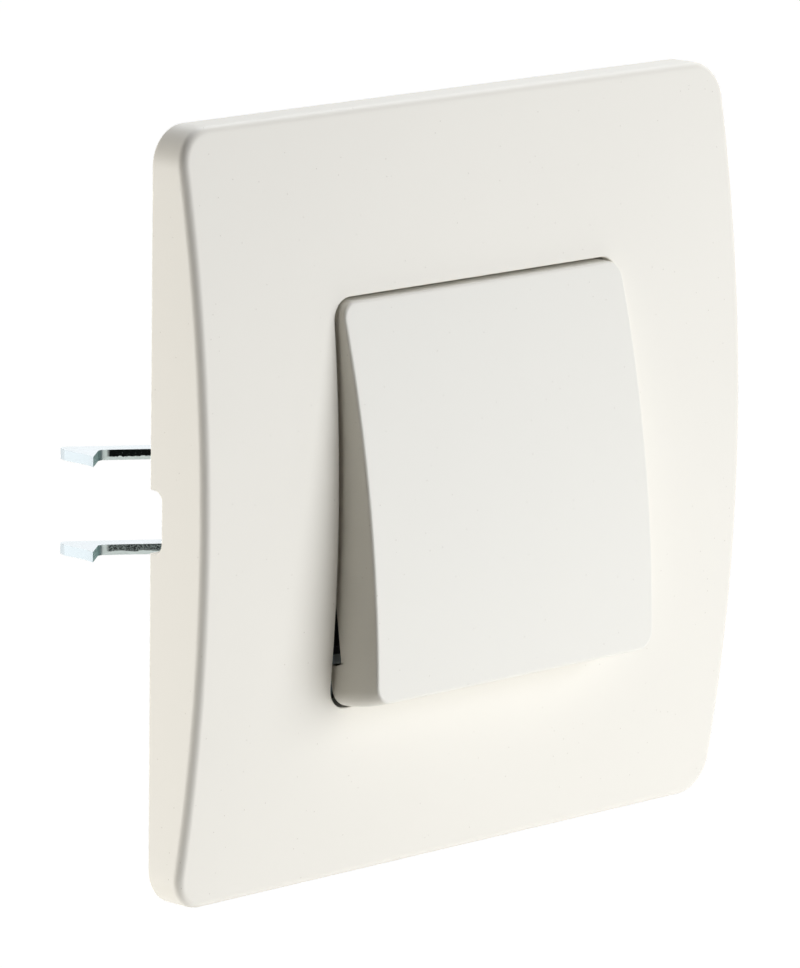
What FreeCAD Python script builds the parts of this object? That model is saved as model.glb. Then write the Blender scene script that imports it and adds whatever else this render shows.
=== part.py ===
import FreeCAD, Part
import math
import operator
import os
from types import SimpleNamespace

import Sketcher
from FreeCAD import Placement, Rotation, Vector

# Flush push button switch for a wall box: a sprung rocker button in a bowed cover plate, its contact
# mechanism, and a steel frame with two claws that spread in the box.
# Millimetres. The origin is the middle of the cover plate on the wall plane. X runs to the right, Z up
# and Y from the room into the wall, so the front faces -Y. The three rocker pieces are drawn about the
# axle and turned to their rest tilt, and round pieces are drawn about their own axis.

DIMENSIONS = {
    # cover plate
    "plate_side": 80.0,
    "plate_depth": 8.0,
    "plate_edge_depth": 3.86,
    "plate_corner": 4.0,
    "plate_edge_round": 1.1,
    "plate_wall": 1.9,
    "opening_width": 41.9,
    "opening_height": 42.5,
    "opening_corner": 2.1,
    "collar_wall": 1.3,
    "collar_front": -6.2,
    "collar_rear": -2.8,
    "notch_width": 6.5,
    "notch_depth": 1.65,
    "notch_corner": 1.1,
    "clip_x": 24.0,
    "clip_z": 32.0,
    "clip_width": 4.0,
    "clip_thick": 1.2,
    "clip_hook": 0.6,
    "clip_reach": 1.3,
    "clip_root": -4.2,
    "rest_spread": 32.5,
    "rest_length": 5.0,
    "rest_thick": 1.4,
    # support frame
    "frame_side": 71.0,
    "frame_thick": 1.0,
    "frame_corner": 6.0,
    "box_screw_spacing": 60.0,
    "box_slot_radius": 2.1,
    "box_slot_length": 7.0,
    "lug_inner": 20.2,
    "lug_outer": 24.4,
    "lug_reach": 6.6,
    "lug_round": 1.8,
    "lug_gap": 0.2,
    "lance_length": 6.5,
    "screw_hole_radius": 1.75,
    # housing and its covers
    "housing_width": 35.0,
    "housing_height": 34.0,
    "housing_corner": 2.0,
    "housing_wall": 1.5,
    "housing_front": -2.5,
    "housing_rear": 18.0,
    "window_gap": 0.2,
    "ear_width": 40.0,
    "ear_height": 24.0,
    "snap_width": 10.0,
    "snap_height": 0.8,
    "snap_depth": 2.0,
    "rear_cover_thick": 1.6,
    "wire_radius": 1.5,
    "wire_x": 13.4,
    "wire_z": 9.2,
    "bearing_width": 32.0,
    "bearing_height": 32.0,
    "bearing_thick": 1.5,
    "tower_inner": 13.0,
    "tower_outer": 15.2,
    "tower_radius": 2.6,
    "guide_radius": 2.5,
    "guide_wall": 1.5,
    "guide_rear": 0.5,
    # rocker, about its axle
    "pivot_y": -6.2,
    "rest_tilt": 8.0,
    "button_width": 41.3,
    "button_end_radius": 21.0,
    "button_apex": -5.8,
    "button_rise": 1.4,
    "button_corner": 1.8,
    "button_edge_break": 0.32,
    "button_face": 1.8,
    "button_wall": 1.6,
    "skirt_rear": 0.45,
    "tab_rear": 2.1,
    "tab_start": 16.5,
    "rib_x": 8.0,
    "rib_width": 1.2,
    "rib_length": 20.0,
    "yoke_front": -3.3,
    "yoke_rear": -2.1,
    "yoke_width": 25.0,
    "yoke_height": 24.0,
    "cheek_inner": 9.0,
    "cheek_outer": 12.0,
    "cheek_radius": 1.9,
    "hook_gap": 0.1,
    "hook_thick": 1.2,
    "hook_lip": 0.6,
    "hook_x": 5.0,
    "hook_width": 4.0,
    "finger_z": -11.0,
    "finger_radius": 1.0,
    "finger_width": 3.4,
    "axle_radius": 1.0,
    "axle_length": 31.0,
    "axle_play": 0.05,
    # plunger and contacts
    "plunger_z": -10.9,
    "plunger_front": -5.64,
    "plunger_radius": 2.4,
    "flange_radius": 4.2,
    "flange_front": 0.6,
    "flange_thick": 1.2,
    "stem_radius": 1.8,
    "stem_rear": 11.0,
    "bridge_front": 7.0,
    "strip_thick": 0.8,
    "bridge_length": 24.0,
    "bridge_width": 4.6,
    "contact_x": 9.5,
    "contact_side": 3.0,
    "contact_thick": 0.8,
    "contact_gap": 3.14,
    "retainer_radius": 3.2,
    "retainer_gap": 0.05,
    "fixed_tip_thick": 0.66,
    "terminal_inner": 7.4,
    "terminal_low": -13.4,
    "terminal_arm_top": -8.4,
    "terminal_leg_low": 4.0,
    "terminal_top": 13.0,
    "terminal_front": 5.0,
    "leaf_thick": 0.4,
    "leaf_x": 8.8,
    "leaf_front": 9.0,
    "leaf_loop": 1.4,
    "leaf_loop_y": 16.3,
    "leaf_tip_x": 15.0,
    "leaf_tip_y": 10.6,
    "leaf_low": 6.2,
    "leaf_high": 12.2,
    "spring_rib": 1.2,
    "coil_wire": 0.33,
    "return_coil": 2.45,
    "return_turns": 6.0,
    "contact_coil": 2.35,
    "contact_turns": 3.5,
    "coil_steps": 10.0,
    # claws, their pins, screws and nuts
    "claw_z": -2.5,
    "claw_height": 11.1,
    "claw_sheet": 1.1,
    "fold_outside": 1.0,
    "fold_inside": 0.4,
    "claw_pin_x": 21.9,
    "claw_pin_y": 4.4,
    "claw_boss": 1.5,
    "claw_inner": 20.4,
    "claw_outer": 23.0,
    "web_inner": 24.6,
    "web_outer": 30.5,
    "web_front": 3.5,
    "gusset_rear": 5.8,
    "gusset_end": 9.2,
    "heel_y": 16.1,
    "neck_x": 28.67,
    "neck_y": 19.47,
    "crotch_y": 15.3,
    "barb_x": 31.7,
    "barb_y": 17.1,
    "bite_x": 31.35,
    "bite_front": 18.5,
    "bite_rear": 21.8,
    "tip_x": 30.7,
    "tip_y": 23.5,
    "tip_inner_x": 29.5,
    "tip_inner_y": 22.7,
    "tip_round": 0.7,
    "neck_round": 0.8,
    "bend_round": 1.5,
    "heel_round": 3.0,
    "pin_radius": 1.0,
    "screw_x": 27.0,
    "screw_radius": 1.5,
    "screw_end": 9.4,
    "head_radius": 2.8,
    "head_thick": 2.0,
    "head_seat": 0.05,
    "drive_slot": 0.8,
    "drive_depth": 1.1,
    "web_hole": 1.85,
    "nut_width": 5.0,
    "nut_height": 8.5,
    "nut_thick": 2.0,
    "nut_gap": 0.05,
    "nut_play": 0.03,
}

LEFT = -1
RIGHT = 1
SIDE_NAMES = {LEFT: "left", RIGHT: "right"}
# Which way each origin plane's normal runs along its axis
NORMAL_SIGNS = {"XZ_Plane": -1, "YZ_Plane": 1, "XY_Plane": 1}
QUARTER_LEFT = 1
HEXAGON = 6
# How far a cut runs past the surface it opens
OVERRUN = 1.0
# Two places closer than this are the same place
CLOSE = 0.01

doc = FreeCAD.newDocument("PushButtonSwitch")


class Size:
    """A number together with the sheet expression that drives it."""

    def __init__(self, value, text):
        self.value = value
        self.text = text

    def __add__(self, other):
        return combine(operator.add, "+", self, other)

    def __sub__(self, other):
        return combine(operator.sub, "-", self, other)

    def __mul__(self, other):
        return combine(operator.mul, "*", self, other)

    def __truediv__(self, other):
        return combine(operator.truediv, "/", self, other)

    def __neg__(self):
        return combine(operator.mul, "*", self, -1)


def as_size(number):
    """Take a plain number as a size."""
    if isinstance(number, Size):
        return number
    return Size(float(number), f"({number})")


def combine(work, sign, left, right):
    """Work out two sizes' value and expression side by side."""
    first, second = as_size(left), as_size(right)
    return Size(work(first.value, second.value), f"({first.text} {sign} {second.text})")


def half_chord(radius, distance):
    """Half the chord that a circle cuts from a line at this distance from its centre."""
    reach = radius * radius - distance * distance
    return Size(math.sqrt(reach.value), f"sqrt{reach.text}")


def make_sheet():
    """Put the driving dimensions in the sheet and return them as named sizes."""
    sheet = doc.addObject("Spreadsheet::Sheet", "Sizes")
    for row, (alias, value) in enumerate(DIMENSIONS.items(), start=1):
        sheet.set(f"A{row}", alias)
        sheet.set(f"B{row}", str(value))
        sheet.setAlias(f"B{row}", alias)
    doc.recompute()
    return SimpleNamespace(
        **{alias: Size(float(sheet.get(alias)), f"Sizes.{alias}") for alias in DIMENSIONS}
    )


def bind(thing, path, size):
    """Drive a property from the sheet."""
    thing.setExpression(path, as_size(size).text)


class Drawing:
    """A sketch on one of a body's origin planes, with its points and radii driven by the sheet."""

    def __init__(self, body, label, plane, offset):
        self.sketch = body.newObject("Sketcher::SketchObject", label)
        support = next(part for part in body.Origin.OriginFeatures if part.Role == plane)
        self.sketch.AttachmentSupport = [(support, "")]
        self.sketch.MapMode = "FlatFace"
        bind(self.sketch, "AttachmentOffset.Base.z", offset)

    def drive(self, kind, places, size):
        """Add one measured constraint."""
        size = as_size(size)
        index = self.sketch.addConstraint(Sketcher.Constraint(kind, *places, size.value))
        self.sketch.setExpression(f"Constraints[{index}]", size.text)

    def pin(self, edge, point, place):
        """Hold a point of the sketch at its distances from the origin."""
        self.drive("DistanceX", (-1, 1, edge, point), place[0])
        self.drive("DistanceY", (-1, 1, edge, point), place[1])

    def circle(self, x, y, radius):
        """Draw a circle."""
        centre = Vector(as_size(x).value, as_size(y).value, 0)
        edge = self.sketch.addGeometry(Part.Circle(centre, Vector(0, 0, 1), radius.value), False)
        self.pin(edge, 3, (x, y))
        self.drive("Radius", (edge,), radius)

    def path(self, corners, arcs=None):
        """Draw a closed outline through the corners.

        arcs gives, for the number of the corner where a side starts, the side's radius and +1 or -1
        for an arc that turns left or right.
        """
        arcs = arcs or {}
        spots = [Vector(as_size(x).value, as_size(y).value, 0) for x, y in corners]
        ends = []
        for number, start in enumerate(spots):
            finish = spots[(number + 1) % len(spots)]
            if number in arcs:
                ends.append(self.arc(start, finish, *arcs[number]))
            else:
                edge = self.sketch.addGeometry(Part.LineSegment(start, finish), False)
                ends.append((edge, 1, 2))
        for number, corner in enumerate(corners):
            edge, first, _ = ends[number]
            before, _, last = ends[number - 1]
            self.sketch.addConstraint(Sketcher.Constraint("Coincident", before, last, edge, first))
            self.pin(edge, first, corner)

    def arc(self, start, finish, radius, turn):
        """Draw the short arc from start to finish. Returns its number and its end points' numbers."""
        chord = finish - start
        rise = math.sqrt(radius.value**2 - (chord.Length / 2) ** 2)
        left = Vector(-chord.y, chord.x, 0).normalize()
        centre = (start + finish) * 0.5 + left * (turn * rise)
        first, last = (start, finish) if turn > 0 else (finish, start)
        angles = [math.atan2(spot.y - centre.y, spot.x - centre.x) for spot in (first, last)]
        circle = Part.Circle(centre, Vector(0, 0, 1), radius.value)
        edge = self.sketch.addGeometry(Part.ArcOfCircle(circle, *angles), False)
        self.drive("Radius", (edge,), radius)
        return (edge, 1, 2) if turn > 0 else (edge, 2, 1)

    def rectangle(self, low_x, low_y, high_x, high_y):
        """Draw an upright rectangle between two corners."""
        self.path([(low_x, low_y), (high_x, low_y), (high_x, high_y), (low_x, high_y)])

    def rounded(self, width, height, radius):
        """Draw a rectangle with round corners about the origin."""
        x, y = width / 2, height / 2
        corners = [
            (radius - x, -y),
            (x - radius, -y),
            (x, radius - y),
            (x, y - radius),
            (x - radius, y),
            (radius - x, y),
            (-x, y - radius),
            (-x, radius - y),
        ]
        self.path(corners, {number: (radius, QUARTER_LEFT) for number in (1, 3, 5, 7)})

    def arch(self, root_x, centre_x, centre_y, radius):
        """Draw a tongue along the first axis from root_x with a round end about a centre."""
        corners = [
            (root_x, centre_y - radius),
            (centre_x, centre_y - radius),
            (centre_x + radius, centre_y),
            (centre_x, centre_y + radius),
            (root_x, centre_y + radius),
        ]
        self.path(corners, {1: (radius, QUARTER_LEFT), 2: (radius, QUARTER_LEFT)})

    def upright_slot(self, x, y, radius, length):
        """Draw a slot along the second axis with round ends."""
        reach = length / 2 - radius
        corners = [
            (x - radius, y - reach),
            (x, y - reach - radius),
            (x + radius, y - reach),
            (x + radius, y + reach),
            (x, y + reach + radius),
            (x - radius, y + reach),
        ]
        turn = (radius, QUARTER_LEFT)
        self.path(corners, {0: turn, 1: turn, 3: turn, 4: turn})


def new_body(label):
    """Start a piece that is modelled with sketches and features."""
    body = doc.addObject("PartDesign::Body", label)
    body.Label = label
    return body


def extrude(body, label, plane, start, end, draw, cut=False):
    """Pad, or cut, what draw sketches on a plane, from start to end along the plane's axis."""
    sign = NORMAL_SIGNS[plane]
    start, end = as_size(start), as_size(end)
    drawing = Drawing(body, f"{label}_sketch", plane, start * sign)
    draw(drawing)
    doc.recompute()
    before = body.Shape.Volume if cut else 0.0
    feature = body.newObject("PartDesign::Pocket" if cut else "PartDesign::Pad", label)
    feature.Profile = drawing.sketch
    feature.Reversed = (sign < 0) != cut
    bind(feature, "Length", end - start)
    doc.recompute()
    if cut and body.Shape.Volume > before - CLOSE:
        raise RuntimeError(f"{body.Label}: {label} cuts nothing")


def revolve(body, label, corners, arcs=None):
    """Turn an outline of (radius, y) corners about the piece's own Y axis."""
    drawing = Drawing(body, f"{label}_sketch", "XY_Plane", 0)
    drawing.path(corners, arcs)
    feature = body.newObject("PartDesign::Revolution", label)
    feature.Profile = drawing.sketch
    feature.ReferenceAxis = (drawing.sketch, ["V_Axis"])
    feature.Angle = 360
    doc.recompute()


def round_edges(body, label, radius, pick):
    """Fillet the edges of the body that pick chooses."""
    dress_edges(body, label, "PartDesign::Fillet", "Radius", radius, pick)


def break_edges(body, label, width, pick):
    """Chamfer the edges of the body that pick chooses."""
    dress_edges(body, label, "PartDesign::Chamfer", "Size", width, pick)


def dress_edges(body, label, kind, measure, amount, pick):
    """Add one fillet or chamfer feature on the edges of the body that pick chooses."""
    base = body.Tip
    names = [f"Edge{i}" for i, edge in enumerate(base.Shape.Edges, start=1) if pick(edge)]
    feature = body.newObject(kind, label)
    feature.Base = (base, names)
    bind(feature, measure, amount)
    doc.recompute()


def along(axis, places):
    """Choose the straight edges along an axis (0, 1 or 2) at these places on the other two axes."""
    others = [number for number in range(3) if number != axis]
    targets = [[as_size(part).value for part in place] for place in places]

    def pick(edge):
        ends = [vertex.Point for vertex in edge.Vertexes]
        if len(ends) != 2 or not isinstance(edge.Curve, Part.Line):
            return False
        spots = [[end[number] for number in others] for end in ends]
        if math.dist(*spots) > CLOSE:
            return False
        return any(math.dist(spots[0], target) < CLOSE for target in targets)

    return pick


def bowed_face(body, radius):
    """Find the largest round face of this radius."""
    faces = [
        face
        for face in body.Tip.Shape.Faces
        if isinstance(face.Surface, Part.Cylinder) and abs(face.Surface.Radius - radius.value) < CLOSE
    ]
    return max(faces, key=lambda face: face.Area)


def of_radius(radius):
    """Choose the round edges of this radius."""

    def pick(edge):
        return isinstance(edge.Curve, Part.Circle) and abs(edge.Curve.Radius - radius.value) < CLOSE

    return pick


def member_of(edges):
    """Choose the edges that are in a list."""
    return lambda edge: any(edge.isSame(other) for other in edges)


def all_signs(x, y):
    """The four places that mirror (x, y) across both axes."""
    return [(x * i, y * j) for i in (-1, 1) for j in (-1, 1)]


def side_pair(side, inner, outer):
    """Two places on one side of the middle, the lower first."""
    return (inner, outer) if side > 0 else (-outer, -inner)


def bow_radius(half, rise):
    """The radius of an arc that rises this much over its half chord."""
    return (half * half + rise * rise) / (rise * 2)


def bowed_profile(drawing, half, edge_y, apex_y, rear_y):
    """Draw a side view in the YZ plane: flat rear, level ends and a front that bows out to apex_y."""
    radius = bow_radius(half, edge_y - apex_y)
    corners = [(rear_y, -half), (rear_y, half), (edge_y, half), (edge_y, -half)]
    drawing.path(corners, {2: (radius, QUARTER_LEFT)})


def place(thing, x=0, y=0, z=0):
    """Drive where a piece's own origin sits."""
    for axis, size in zip("xyz", (x, y, z)):
        bind(thing, f"Placement.Base.{axis}", size)


def tilt_to_rest(body):
    """Set a rocker piece on its axle at the rest tilt, lower edge out."""
    body.Placement = Placement(Vector(), Rotation(Vector(-1, 0, 0), size.rest_tilt.value))
    bind(body, "Placement.Rotation.Angle", size.rest_tilt)
    place(body, y=size.pivot_y)


size = make_sheet()
plate_half = size.plate_side / 2
housing_half = size.housing_width / 2
cavity_half = housing_half - size.housing_wall
claw_low = size.claw_z - size.claw_height / 2
claw_high = size.claw_z + size.claw_height / 2
web_rear = size.web_front + size.claw_sheet
bridge_rear = size.bridge_front + size.strip_thick
bridge_tip = bridge_rear + size.contact_thick
fixed_tip = bridge_tip + size.contact_gap
terminal_arm = fixed_tip + size.fixed_tip_thick
retainer_front = bridge_rear + size.retainer_gap
retainer_rear = retainer_front + size.strip_thick


def make_cover_plate():
    """Bowed plate with a hollow back, an opening with a collar, clips, rests and pry notches."""
    body = new_body("cover_plate")
    half, wall = plate_half, size.plate_wall
    bow = bow_radius(half, size.plate_depth - size.plate_edge_depth)

    def shell(drawing):
        bowed_profile(drawing, half, -size.plate_edge_depth, -size.plate_depth, 0)

    extrude(body, "plate_block", "YZ_Plane", -half, half, shell)
    round_edges(body, "plate_corners", size.plate_corner, along(1, all_signs(half, half)))
    rim = bowed_face(body, bow).OuterWire.Edges
    round_edges(body, "plate_front_edge", size.plate_edge_round, member_of(rim))

    inner = half - wall

    def hollow(drawing):
        rise = size.plate_depth - size.plate_edge_depth
        depth = size.plate_edge_depth - wall
        bowed_profile(drawing, inner, -depth, -depth - rise, OVERRUN)

    extrude(body, "plate_hollow", "YZ_Plane", -inner, inner, hollow, cut=True)
    inner_corner = size.plate_corner - wall
    round_edges(body, "hollow_corners", inner_corner, along(1, all_signs(inner, inner)))

    def collar(drawing):
        drawing.rounded(
            size.opening_width + size.collar_wall * 2,
            size.opening_height + size.collar_wall * 2,
            size.opening_corner + size.collar_wall,
        )

    extrude(body, "opening_collar", "XZ_Plane", size.collar_front, size.collar_rear, collar)

    def opening(drawing):
        drawing.rounded(size.opening_width, size.opening_height, size.opening_corner)

    extrude(body, "opening", "XZ_Plane", -size.plate_depth - OVERRUN, 0, opening, cut=True)
    notch_half = size.notch_width / 2

    for side in (LEFT, RIGHT):

        def notch(drawing, side=side):
            low, high = side_pair(side, inner - OVERRUN, half + OVERRUN)
            drawing.rectangle(low, -notch_half, high, notch_half)

        name = f"pry_notch_{SIDE_NAMES[side]}"
        extrude(body, name, "XZ_Plane", -size.notch_depth, OVERRUN, notch, cut=True)
    notch_corners = [(-size.notch_depth, notch_half), (-size.notch_depth, -notch_half)]
    round_edges(body, "notch_corners", size.notch_corner, along(0, notch_corners))

    for upright in (-1, 1):
        hook_top = size.clip_z + size.clip_thick

        def clip(drawing, upright=upright):
            outline = [
                (size.clip_root, size.clip_z),
                (size.clip_reach, size.clip_z),
                (size.clip_reach, hook_top),
                (size.clip_hook / 4, hook_top + size.clip_hook),
                (size.clip_hook / 4, hook_top),
                (size.clip_root, hook_top),
            ]
            drawing.path([(y, z * upright) for y, z in outline])

        for side in (LEFT, RIGHT):
            middle = size.clip_x * side
            name = f"clip_{SIDE_NAMES[side]}_{'upper' if upright > 0 else 'lower'}"
            reach = size.clip_width / 2
            extrude(body, name, "YZ_Plane", middle - reach, middle + reach, clip)

    def rests(drawing):
        wide, high = size.rest_length / 2, size.rest_thick / 2
        for x, z in all_signs(size.rest_spread, size.rest_spread):
            drawing.rectangle(x - wide, z - high, x + wide, z + high)

    extrude(body, "frame_rests", "XZ_Plane", size.clip_root, -size.frame_thick, rests)


def make_support_frame():
    """Stamped frame with a window for the housing, slots, holes and lugs bent back for the claws."""
    body = new_body("support_frame")
    front = -size.frame_thick

    def sheet(drawing):
        drawing.rounded(size.frame_side, size.frame_side, size.frame_corner)

    extrude(body, "frame_sheet", "XZ_Plane", front, 0, sheet)

    def window(drawing):
        drawing.rounded(
            size.housing_width + size.window_gap * 2,
            size.housing_height + size.window_gap * 2,
            size.housing_corner,
        )

    extrude(body, "frame_window", "XZ_Plane", front - OVERRUN, OVERRUN, window, cut=True)

    def punched(drawing):
        for upright in (-1, 1):
            middle = size.box_screw_spacing / 2 * upright
            drawing.upright_slot(as_size(0), middle, size.box_slot_radius, size.box_slot_length)
        for side in (LEFT, RIGHT):
            drawing.circle(size.screw_x * side, size.claw_z, size.screw_hole_radius)
        clearance = size.clip_hook
        for x, z in all_signs(size.clip_x, size.clip_z + size.clip_thick / 2):
            wide = size.clip_width / 2 + clearance
            high = size.clip_thick / 2 + clearance / 2
            drawing.rectangle(x - wide, z - high, x + wide, z + high)

    extrude(body, "punched_holes", "XZ_Plane", front - OVERRUN, OVERRUN, punched, cut=True)

    upper = claw_high + size.lug_gap
    lower = claw_low - size.lug_gap

    def lanced(drawing):
        for side in (LEFT, RIGHT):
            low, high = side_pair(side, size.lug_inner, size.lug_outer)
            top = upper + size.frame_thick
            drawing.rectangle(low, top, high, top + size.lance_length)
            bottom = lower - size.frame_thick
            drawing.rectangle(low, bottom - size.lance_length, high, bottom)

    extrude(body, "lanced_windows", "XZ_Plane", front - OVERRUN, OVERRUN, lanced, cut=True)

    def lugs(drawing):
        for side in (LEFT, RIGHT):
            low, high = side_pair(side, size.lug_inner, size.lug_outer)
            drawing.rectangle(low, front, high, size.lug_reach)

    extrude(body, "upper_lugs", "XY_Plane", upper, upper + size.frame_thick, lugs)
    extrude(body, "lower_lugs", "XY_Plane", lower - size.frame_thick, lower, lugs)
    tips = [(x * side, size.lug_reach) for x in (size.lug_inner, size.lug_outer) for side in (LEFT, RIGHT)]
    round_edges(body, "lug_ends", size.lug_round, along(2, tips))

    def pin_holes(drawing):
        for side in (LEFT, RIGHT):
            drawing.circle(size.claw_pin_x * side, size.claw_pin_y, size.pin_radius)

    extrude(
        body,
        "pin_holes",
        "XY_Plane",
        lower - size.frame_thick - OVERRUN,
        upper + size.frame_thick + OVERRUN,
        pin_holes,
        cut=True,
    )


def make_housing():
    """Box open at both ends, with ears on the frame, snap lugs behind it and ribs for the leaf springs."""
    body = new_body("mechanism_housing")

    def block(drawing):
        drawing.rounded(size.housing_width, size.housing_height, size.housing_corner)

    extrude(body, "housing_block", "XZ_Plane", size.housing_front, size.housing_rear, block)

    def ears(drawing):
        drawing.rounded(size.ear_width, size.ear_height, size.housing_corner)

    extrude(body, "housing_ears", "XZ_Plane", size.housing_front, -size.frame_thick, ears)

    snap_top = size.housing_height / 2
    snap_front = size.window_gap / 2

    for upright in (-1, 1):

        def snap(drawing, upright=upright):
            outline = [
                (snap_front, snap_top - size.housing_wall / 2),
                (size.snap_depth, snap_top - size.housing_wall / 2),
                (size.snap_depth, snap_top),
                (snap_front, snap_top + size.snap_height),
            ]
            drawing.path([(y, z * upright) for y, z in outline])

        reach = size.snap_width / 2
        extrude(body, "snap_upper" if upright > 0 else "snap_lower", "YZ_Plane", -reach, reach, snap)

    def cavity(drawing):
        wall = size.housing_wall
        drawing.rounded(
            size.housing_width - wall * 2, size.housing_height - wall * 2, size.housing_corner / 2
        )

    start, end = size.housing_front - OVERRUN, size.housing_rear + OVERRUN
    extrude(body, "housing_cavity", "XZ_Plane", start, end, cavity, cut=True)

    def ribs(drawing):
        for side in (LEFT, RIGHT):
            low, high = side_pair(side, size.leaf_x - size.spring_rib, size.leaf_x)
            root = size.housing_height / 2 - size.housing_wall / 2
            drawing.rectangle(low, size.leaf_low, high, root)

    extrude(body, "leaf_ribs", "XZ_Plane", size.leaf_front, size.housing_rear, ribs)


def make_rear_cover():
    """Cover behind the housing with two wire entries and a peg inside the return spring."""
    body = new_body("rear_cover")
    rear = size.housing_rear + size.rear_cover_thick

    def sheet(drawing):
        drawing.rounded(size.housing_width, size.housing_height, size.housing_corner)

    extrude(body, "cover_sheet", "XZ_Plane", size.housing_rear, rear, sheet)

    def peg(drawing):
        drawing.circle(as_size(0), size.plunger_z, size.stem_radius)

    peg_length = size.rear_cover_thick * 2
    extrude(body, "spring_peg", "XZ_Plane", size.housing_rear - peg_length, size.housing_rear, peg)

    def entries(drawing):
        for side in (LEFT, RIGHT):
            drawing.circle(size.wire_x * side, size.wire_z, size.wire_radius)

    start = size.housing_rear - OVERRUN
    extrude(body, "wire_entries", "XZ_Plane", start, rear + OVERRUN, entries, cut=True)


def make_bearing_plate():
    """Front cover of the housing with the axle's two towers and the plunger's guide."""
    body = new_body("bearing_plate")
    front = size.housing_front - size.bearing_thick

    def sheet(drawing):
        wide, high = size.bearing_width / 2, size.bearing_height / 2
        drawing.rectangle(-wide, -high, wide, high)

    extrude(body, "bearing_sheet", "XZ_Plane", front, size.housing_front, sheet)

    def tower(drawing):
        radius = size.tower_radius
        root = size.housing_front - size.bearing_thick / 2
        corners = [
            (root, -radius),
            (root, radius),
            (size.pivot_y, radius),
            (size.pivot_y - radius, as_size(0)),
            (size.pivot_y, -radius),
        ]
        drawing.path(corners, {2: (radius, QUARTER_LEFT), 3: (radius, QUARTER_LEFT)})

    extrude(body, "tower_left", "YZ_Plane", -size.tower_outer, -size.tower_inner, tower)
    extrude(body, "tower_right", "YZ_Plane", size.tower_inner, size.tower_outer, tower)

    def guide(drawing):
        drawing.circle(as_size(0), size.plunger_z, size.guide_radius + size.guide_wall)

    extrude(body, "plunger_guide", "XZ_Plane", size.housing_front, size.guide_rear, guide)

    def guide_hole(drawing):
        drawing.circle(as_size(0), size.plunger_z, size.guide_radius)

    start, end = front - OVERRUN, size.guide_rear + OVERRUN
    extrude(body, "guide_hole", "XZ_Plane", start, end, guide_hole, cut=True)

    def axle_holes(drawing):
        drawing.circle(size.pivot_y, as_size(0), size.axle_radius + size.axle_play)

    reach = size.tower_outer + OVERRUN
    extrude(body, "axle_holes", "YZ_Plane", -reach, reach, axle_holes, cut=True)


def make_button():
    """Hollow button with a bowed face, end walls curved about the axle, short skirts, ribs and hooks."""
    body = new_body("button")
    half = size.button_width / 2
    edge = size.button_apex + size.button_rise
    ends = size.button_end_radius
    front_half, rear_half = half_chord(ends, edge), half_chord(ends, size.tab_rear)
    bow = bow_radius(front_half, size.button_rise)

    def shell(drawing):
        corners = [
            (size.tab_rear, -rear_half),
            (size.tab_rear, rear_half),
            (edge, front_half),
            (edge, -front_half),
        ]
        around_axle = (ends, QUARTER_LEFT)
        drawing.path(corners, {1: around_axle, 2: (bow, QUARTER_LEFT), 3: around_axle})

    extrude(body, "button_block", "YZ_Plane", -half, half, shell)
    round_edges(body, "button_corners", size.button_corner, of_radius(ends))
    rim = bowed_face(body, bow).OuterWire.Edges
    break_edges(body, "button_front_edge", size.button_edge_break, member_of(rim))

    inner = half - size.button_wall

    def hollow(drawing):
        depth = edge + size.button_face
        reach = front_half - size.button_wall
        bowed_profile(drawing, reach, depth, depth - size.button_rise, size.tab_rear + OVERRUN)

    extrude(body, "button_hollow", "YZ_Plane", -inner, inner, hollow, cut=True)

    def short_skirt(drawing):
        reach = size.tab_start
        drawing.rectangle(size.skirt_rear, -reach, size.tab_rear + OVERRUN, reach)

    far = half + OVERRUN
    extrude(body, "short_skirts", "YZ_Plane", -far, far, short_skirt, cut=True)

    inner_face = size.button_apex + size.button_face

    def rib(drawing):
        reach = size.rib_length / 2
        drawing.rectangle(inner_face - size.button_face / 2, -reach, size.yoke_front, reach)

    for side in (LEFT, RIGHT):
        middle, reach = size.rib_x * side, size.rib_width / 2
        extrude(body, f"rib_{SIDE_NAMES[side]}", "YZ_Plane", middle - reach, middle + reach, rib)

    for upright in (-1, 1):

        def hook(drawing, upright=upright):
            low = size.yoke_height / 2 + size.hook_gap
            catch = size.yoke_rear + size.hook_gap
            outline = [
                (inner_face - size.button_face / 2, low),
                (catch, low),
                (catch, low - size.hook_lip),
                (catch + size.hook_lip + size.hook_gap, low),
                (catch + size.hook_lip + size.hook_gap, low + size.hook_thick),
                (inner_face - size.button_face / 2, low + size.hook_thick),
            ]
            drawing.path([(y, z * upright) for y, z in outline])

        for side in (LEFT, RIGHT):
            middle, reach = size.hook_x * side, size.hook_width / 2
            name = f"hook_{SIDE_NAMES[side]}_{'upper' if upright > 0 else 'lower'}"
            extrude(body, name, "YZ_Plane", middle - reach, middle + reach, hook)
    tilt_to_rest(body)


def make_yoke():
    """Carrier under the button with two cheeks on the axle and the finger that works the plunger."""
    body = new_body("rocker_yoke")

    def sheet(drawing):
        wide, high = size.yoke_width / 2, size.yoke_height / 2
        drawing.rectangle(-wide, -high, wide, high)

    extrude(body, "yoke_sheet", "XZ_Plane", size.yoke_front, size.yoke_rear, sheet)
    root = (size.yoke_front + size.yoke_rear) / 2

    def cheek(drawing):
        drawing.arch(root, as_size(0), as_size(0), size.cheek_radius)

    extrude(body, "cheek_left", "YZ_Plane", -size.cheek_outer, -size.cheek_inner, cheek)
    extrude(body, "cheek_right", "YZ_Plane", size.cheek_inner, size.cheek_outer, cheek)

    def finger(drawing):
        drawing.arch(root, size.finger_radius, size.finger_z, size.finger_radius)

    reach = size.finger_width / 2
    extrude(body, "finger", "YZ_Plane", -reach, reach, finger)

    def axle_hole(drawing):
        drawing.circle(as_size(0), as_size(0), size.axle_radius)

    far = size.yoke_width / 2 + OVERRUN
    extrude(body, "axle_hole", "YZ_Plane", -far, far, axle_hole, cut=True)
    tilt_to_rest(body)


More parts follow.
